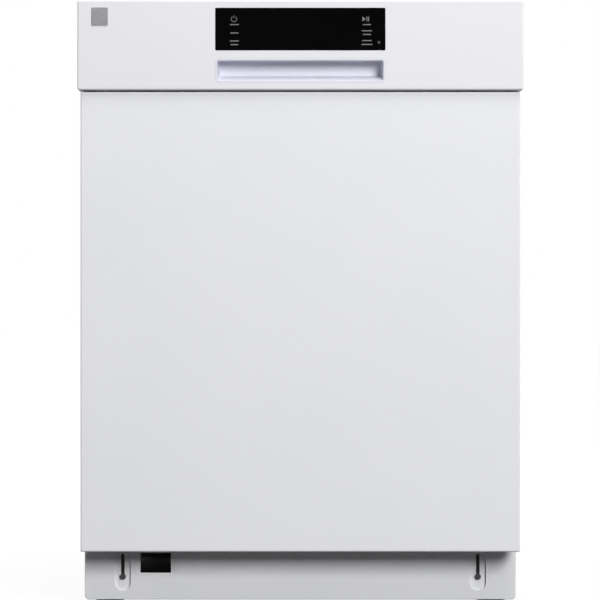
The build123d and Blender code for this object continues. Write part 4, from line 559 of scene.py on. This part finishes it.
# Lower rack, with its wheel carriers
LOW_HALF, LOW_FRONT, LOW_BACK = 0.250, -0.216, 0.24035
LOW_FLOOR, LOW_RIM = 0.158, 0.330
LOW_TOE, LOW_NOSE = 0.030, 0.027
LOW_TINE = 0.105
low_cross = row(9, 0.046, 0.026)
low_top = LOW_RIM - WIRE
low_profile = [
    (LOW_BACK, low_top),
    (LOW_BACK, LOW_FLOOR),
    (LOW_FRONT + LOW_TOE, LOW_FLOOR),
    (LOW_FRONT, LOW_FLOOR + LOW_NOSE),
    (LOW_FRONT, low_top),
]
low_loops = (low_top, (LOW_FLOOR + LOW_RIM) / 2)
low_columns = [x + LONG_PITCH / 2 for x in LONG[:5]]
low_mesh = rack("lower_rack_wires", low_profile, LOW_HALF, low_cross, low_loops, low_columns, LOW_TINE)
lower_wires = add_object("lower_rack_wires", low_mesh, coated_wire, "lower_basket")
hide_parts("lower_rack")

CARRIER_IN, CARRIER_OUT = 0.25235, 0.25735
CARRIER_HALF, CARRIER_BELOW, CARRIER_ABOVE, CARRIER_ROUND = 0.017, 0.008, 0.044, 0.0018
AXLE_Z, AXLE_END, AXLE_RADIUS = 0.149, 0.26695, 0.00395
AXLE_HEAD_IN, AXLE_HEAD_RADIUS = 0.26597, 0.006
bm = bmesh.new()
for side in (-1, 1):
    for y in (low_cross[1], low_cross[-2]):
        inner, outer = sorted((side * CARRIER_IN, side * CARRIER_OUT))
        low = (inner, y - CARRIER_HALF, AXLE_Z - CARRIER_BELOW)
        high = (outer, y + CARRIER_HALF, AXLE_Z + CARRIER_ABOVE)
        block(bm, low, high, CARRIER_ROUND)
        axle_end = (side * AXLE_END, y, AXLE_Z)
        rod(bm, (side * CARRIER_OUT, y, AXLE_Z), axle_end, AXLE_RADIUS)
        rod(bm, (side * AXLE_HEAD_IN, y, AXLE_Z), axle_end, AXLE_HEAD_RADIUS)
carriers = from_bmesh("wheel_carriers", bm)
add_object("wheel_carriers", carriers, grey_plastic, "lower_basket")

# Upper rack, with the clips of its cup shelves
UP_HALF, UP_FRONT, UP_BACK = 0.238, -0.21435, 0.23235
UP_FLOOR, UP_RIM = 0.446, 0.562
UP_TINE = 0.062
up_cross = row(9, 0.050, 0.009)
up_top = UP_RIM - WIRE
up_profile = [(UP_BACK, up_top), (UP_BACK, UP_FLOOR), (UP_FRONT, UP_FLOOR), (UP_FRONT, up_top)]
up_columns = [LONG_PITCH * place for place in (-2.5, -0.5, 1.5)]
up_mesh = rack("upper_rack_wires", up_profile, UP_HALF, up_cross, (up_top,), up_columns, UP_TINE)
upper_wires = add_object("upper_rack_wires", up_mesh, coated_wire, "upper_basket")
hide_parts("upper_rack")

SHELF_X, SHELF_Z = 0.23065, 0.534
CLIP, CLIP_ROUND = 0.005, 0.0012
CLIP_FRONT, CLIP_BACK = up_cross[2], up_cross[-3]
bm = bmesh.new()
for side in (-1, 1):
    for y in (CLIP_FRONT, CLIP_BACK):
        low = (side * SHELF_X - CLIP, y - CLIP, SHELF_Z - CLIP)
        high = (side * SHELF_X + CLIP, y + CLIP, SHELF_Z + CLIP)
        block(bm, low, high, CLIP_ROUND)
add_object("shelf_clips", from_bmesh("shelf_clips", bm), grey_plastic, "upper_basket")

# Cup shelves in round wire
SHELF_DEPTH = 0.074
PRONGS, PRONG_PITCH = 6, 0.030
SHELF_BAR, INNER_BAR_HALF = 0.002, 0.090
shelf_middle = (CLIP_FRONT + CLIP_BACK) / 2
for side, node, body in ((-1, "left_cup_shelf", "left_shelf"), (1, "right_cup_shelf", "right_shelf")):
    outer, inner = side * SHELF_X, side * (SHELF_X - SHELF_DEPTH)
    prongs = [
        [(outer, y, SHELF_Z), (inner, y, SHELF_Z)] for y in row(PRONGS, PRONG_PITCH, shelf_middle)
    ]
    bars = [
        [(outer, CLIP_FRONT - 2 * CLIP, SHELF_Z), (outer, CLIP_BACK + 2 * CLIP, SHELF_Z)],
        [(inner, shelf_middle - INNER_BAR_HALF, SHELF_Z), (inner, shelf_middle + INNER_BAR_HALF, SHELF_Z)],
    ]
    mesh = joined(f"{node}_wires", wires("prongs", prongs, TINE), wires("bars", bars, SHELF_BAR))
    shelf = add_object(f"{node}_wires", mesh, coated_wire, body)
    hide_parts(node)

# Counterbalance springs as coils of wire
SPRING_X, SPRING_Z = 0.2855, 0.11114
SPRING_FRONT, SPRING_BACK = -0.1695, -0.0855
FRONT_HOOK, BACK_HOOK, BACK_HOOK_END = 0.0002, 0.003, -0.0757
COIL_RADIUS, COIL_WIRE = 0.0055, 0.00095
TURNS, STEPS = 34, 14
for side, name in ((-1, "left_coil_spring"), (1, "right_coil_spring")):
    x = side * SPRING_X
    coil = []
    for step in range(TURNS * STEPS + 1):
        share = step / (TURNS * STEPS)
        angle = 2 * math.pi * TURNS * share
        y = SPRING_FRONT + (SPRING_BACK - SPRING_FRONT) * share
        coil.append((x + COIL_RADIUS * math.cos(angle), y, SPRING_Z + COIL_RADIUS * math.sin(angle)))
    front_tail = [(x + COIL_RADIUS, SPRING_FRONT, SPRING_Z), (x, SPRING_FRONT - FRONT_HOOK, SPRING_Z)]
    back_tail = [
        (x + COIL_RADIUS, SPRING_BACK, SPRING_Z),
        (x, SPRING_BACK + BACK_HOOK, SPRING_Z),
        (x, BACK_HOOK_END, SPRING_Z),
    ]
    mesh = wires(name, [coil, front_tail, back_tail], COIL_WIRE)
    piece = add_object(name, mesh, zinc_screw, None)
    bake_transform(piece)
    if side == -1:
        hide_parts("door_springs")

# Screws round the edge of the door liner
LINER = -0.2405
LINER_SCREW_X, LINER_SCREW_ROWS = 0.2895, (0.18, 0.33, 0.48, 0.63, 0.77)
LINER_SCREW_RADIUS, LINER_SCREW_RISE = 0.0030, 0.0002
bm = bmesh.new()
for side in (-1, 1):
    for z in LINER_SCREW_ROWS:
        x = side * LINER_SCREW_X
        rod(bm, (x, LINER, z), (x, LINER + LINER_SCREW_RISE, z), LINER_SCREW_RADIUS, 18)
add_object("liner_screws", from_bmesh("liner_screws", bm), zinc_screw, "door")

# Floor, backdrop light and lamps
FLOOR_REACH = 30.0
FLOOR_COLOR = (0.08, 0.08, 0.08)
GLOW_NEAR, GLOW_FAR = 0.93, 1.0
NEAR_END, FAR_START = 0.3, 1.4


def stage_material(name, color):
    """A dull floor that the eye and mirrors see as white, a bit less so near the object, for its shadow."""
    material, tree, shader = new_material(name)
    shader.inputs["Base Color"].default_value = (*color, 1)
    shader.inputs["Roughness"].default_value = 0.9
    shader.inputs["Specular IOR Level"].default_value = 0.0
    coords = tree.nodes.new("ShaderNodeTexCoord")
    distance = tree.nodes.new("ShaderNodeVectorMath")
    distance.operation = "LENGTH"
    tree.links.new(coords.outputs["Object"], distance.inputs[0])
    glow = tree.nodes.new("ShaderNodeMapRange")
    glow.interpolation_type = "SMOOTHSTEP"
    glow.inputs["From Min"].default_value = NEAR_END
    glow.inputs["From Max"].default_value = FAR_START
    glow.inputs["To Min"].default_value = GLOW_NEAR
    glow.inputs["To Max"].default_value = GLOW_FAR
    tree.links.new(distance.outputs["Value"], glow.inputs["Value"])
    light = tree.nodes.new("ShaderNodeLightPath")
    seen = combined(tree, "MAXIMUM", light.outputs["Is Camera Ray"], light.outputs["Is Glossy Ray"])
    scaled = combined(tree, "MULTIPLY", seen, glow.outputs["Result"])
    shader.inputs["Emission Color"].default_value = (1, 1, 1, 1)
    tree.links.new(scaled, shader.inputs["Emission Strength"])
    return material


bm = bmesh.new()
bmesh.ops.create_grid(bm, x_segments=1, y_segments=1, size=FLOOR_REACH)
floor_mesh = from_bmesh("floor", bm)
floor = bpy.data.objects.new("floor", floor_mesh)
scene.collection.objects.link(floor)
floor_mesh.materials.append(stage_material("pale_floor", FLOOR_COLOR))

# The camera sees a white backdrop, metal mirrors a bright room, and the rest gets a soft ambient light
AMBIENT, MIRRORED = 0.06, 0.7
world = bpy.data.worlds.new("studio")
scene.world = world
world.use_nodes = True
tree = world.node_tree
background = tree.nodes["Background"]
background.inputs["Color"].default_value = (1, 1, 1, 1)
path = tree.nodes.new("ShaderNodeLightPath")
seen = combined(tree, "MAXIMUM", path.outputs["Is Camera Ray"], path.outputs["Is Transmission Ray"])
mirrored = tree.nodes.new("ShaderNodeMapRange")
mirrored.inputs["To Min"].default_value = AMBIENT
mirrored.inputs["To Max"].default_value = MIRRORED
tree.links.new(path.outputs["Is Glossy Ray"], mirrored.inputs["Value"])
strength = combined(tree, "MAXIMUM", seen, mirrored.outputs["Result"])
tree.links.new(strength, background.inputs["Strength"])


def lamp(name, place, aim, size, power):
    """An area lamp at a place, aimed at a point, with its power in watts."""
    data = bpy.data.lights.new(name, "AREA")
    data.shape = "RECTANGLE"
    data.size, data.size_y = size
    data.energy = power
    lamp_object = bpy.data.objects.new(name, data)
    lamp_object.location = place
    lamp_object.rotation_euler = (Vector(aim) - Vector(place)).to_track_quat("-Z", "Y").to_euler()
    scene.collection.objects.link(lamp_object)


lamp("key", place=(3.4, -8.0, 3.6), aim=(0, -0.3, 0.45), size=(3.2, 3.2), power=640)
lamp("top", place=(0.2, -1.3, 3.0), aim=(0, -0.2, 0.5), size=(2.2, 1.2), power=38)
lamp("fill", place=(-3.0, -0.3, 1.8), aim=(0, -0.1, 0.4), size=(1.2, 1.4), power=24)
lamp("side", place=(3.0, 0.1, 1.8), aim=(0, 0, 0.4), size=(1.2, 1.4), power=24)
lamp("rear", place=(0.6, 3.0, 2.2), aim=(0, 0.2, 0.4), size=(2.0, 1.4), power=40)

# The camera looks straight at the front and takes in the whole picture at the front plane's scale
DISTANCE = 4.0
EYE_X, EYE_Z = -0.0004, 0.413
camera_data = bpy.data.cameras.new("camera")
camera = bpy.data.objects.new("camera", camera_data)
scene.collection.objects.link(camera)
camera.location = (EYE_X, FRONT - DISTANCE, EYE_Z)
camera.rotation_euler = (math.radians(90), 0, 0)
camera_data.sensor_fit = "HORIZONTAL"
camera_data.angle = 2 * math.atan(PICTURE / 2 * FACE_SCALE / DISTANCE)
scene.camera = camera
scene.view_settings.view_transform = "Standard"
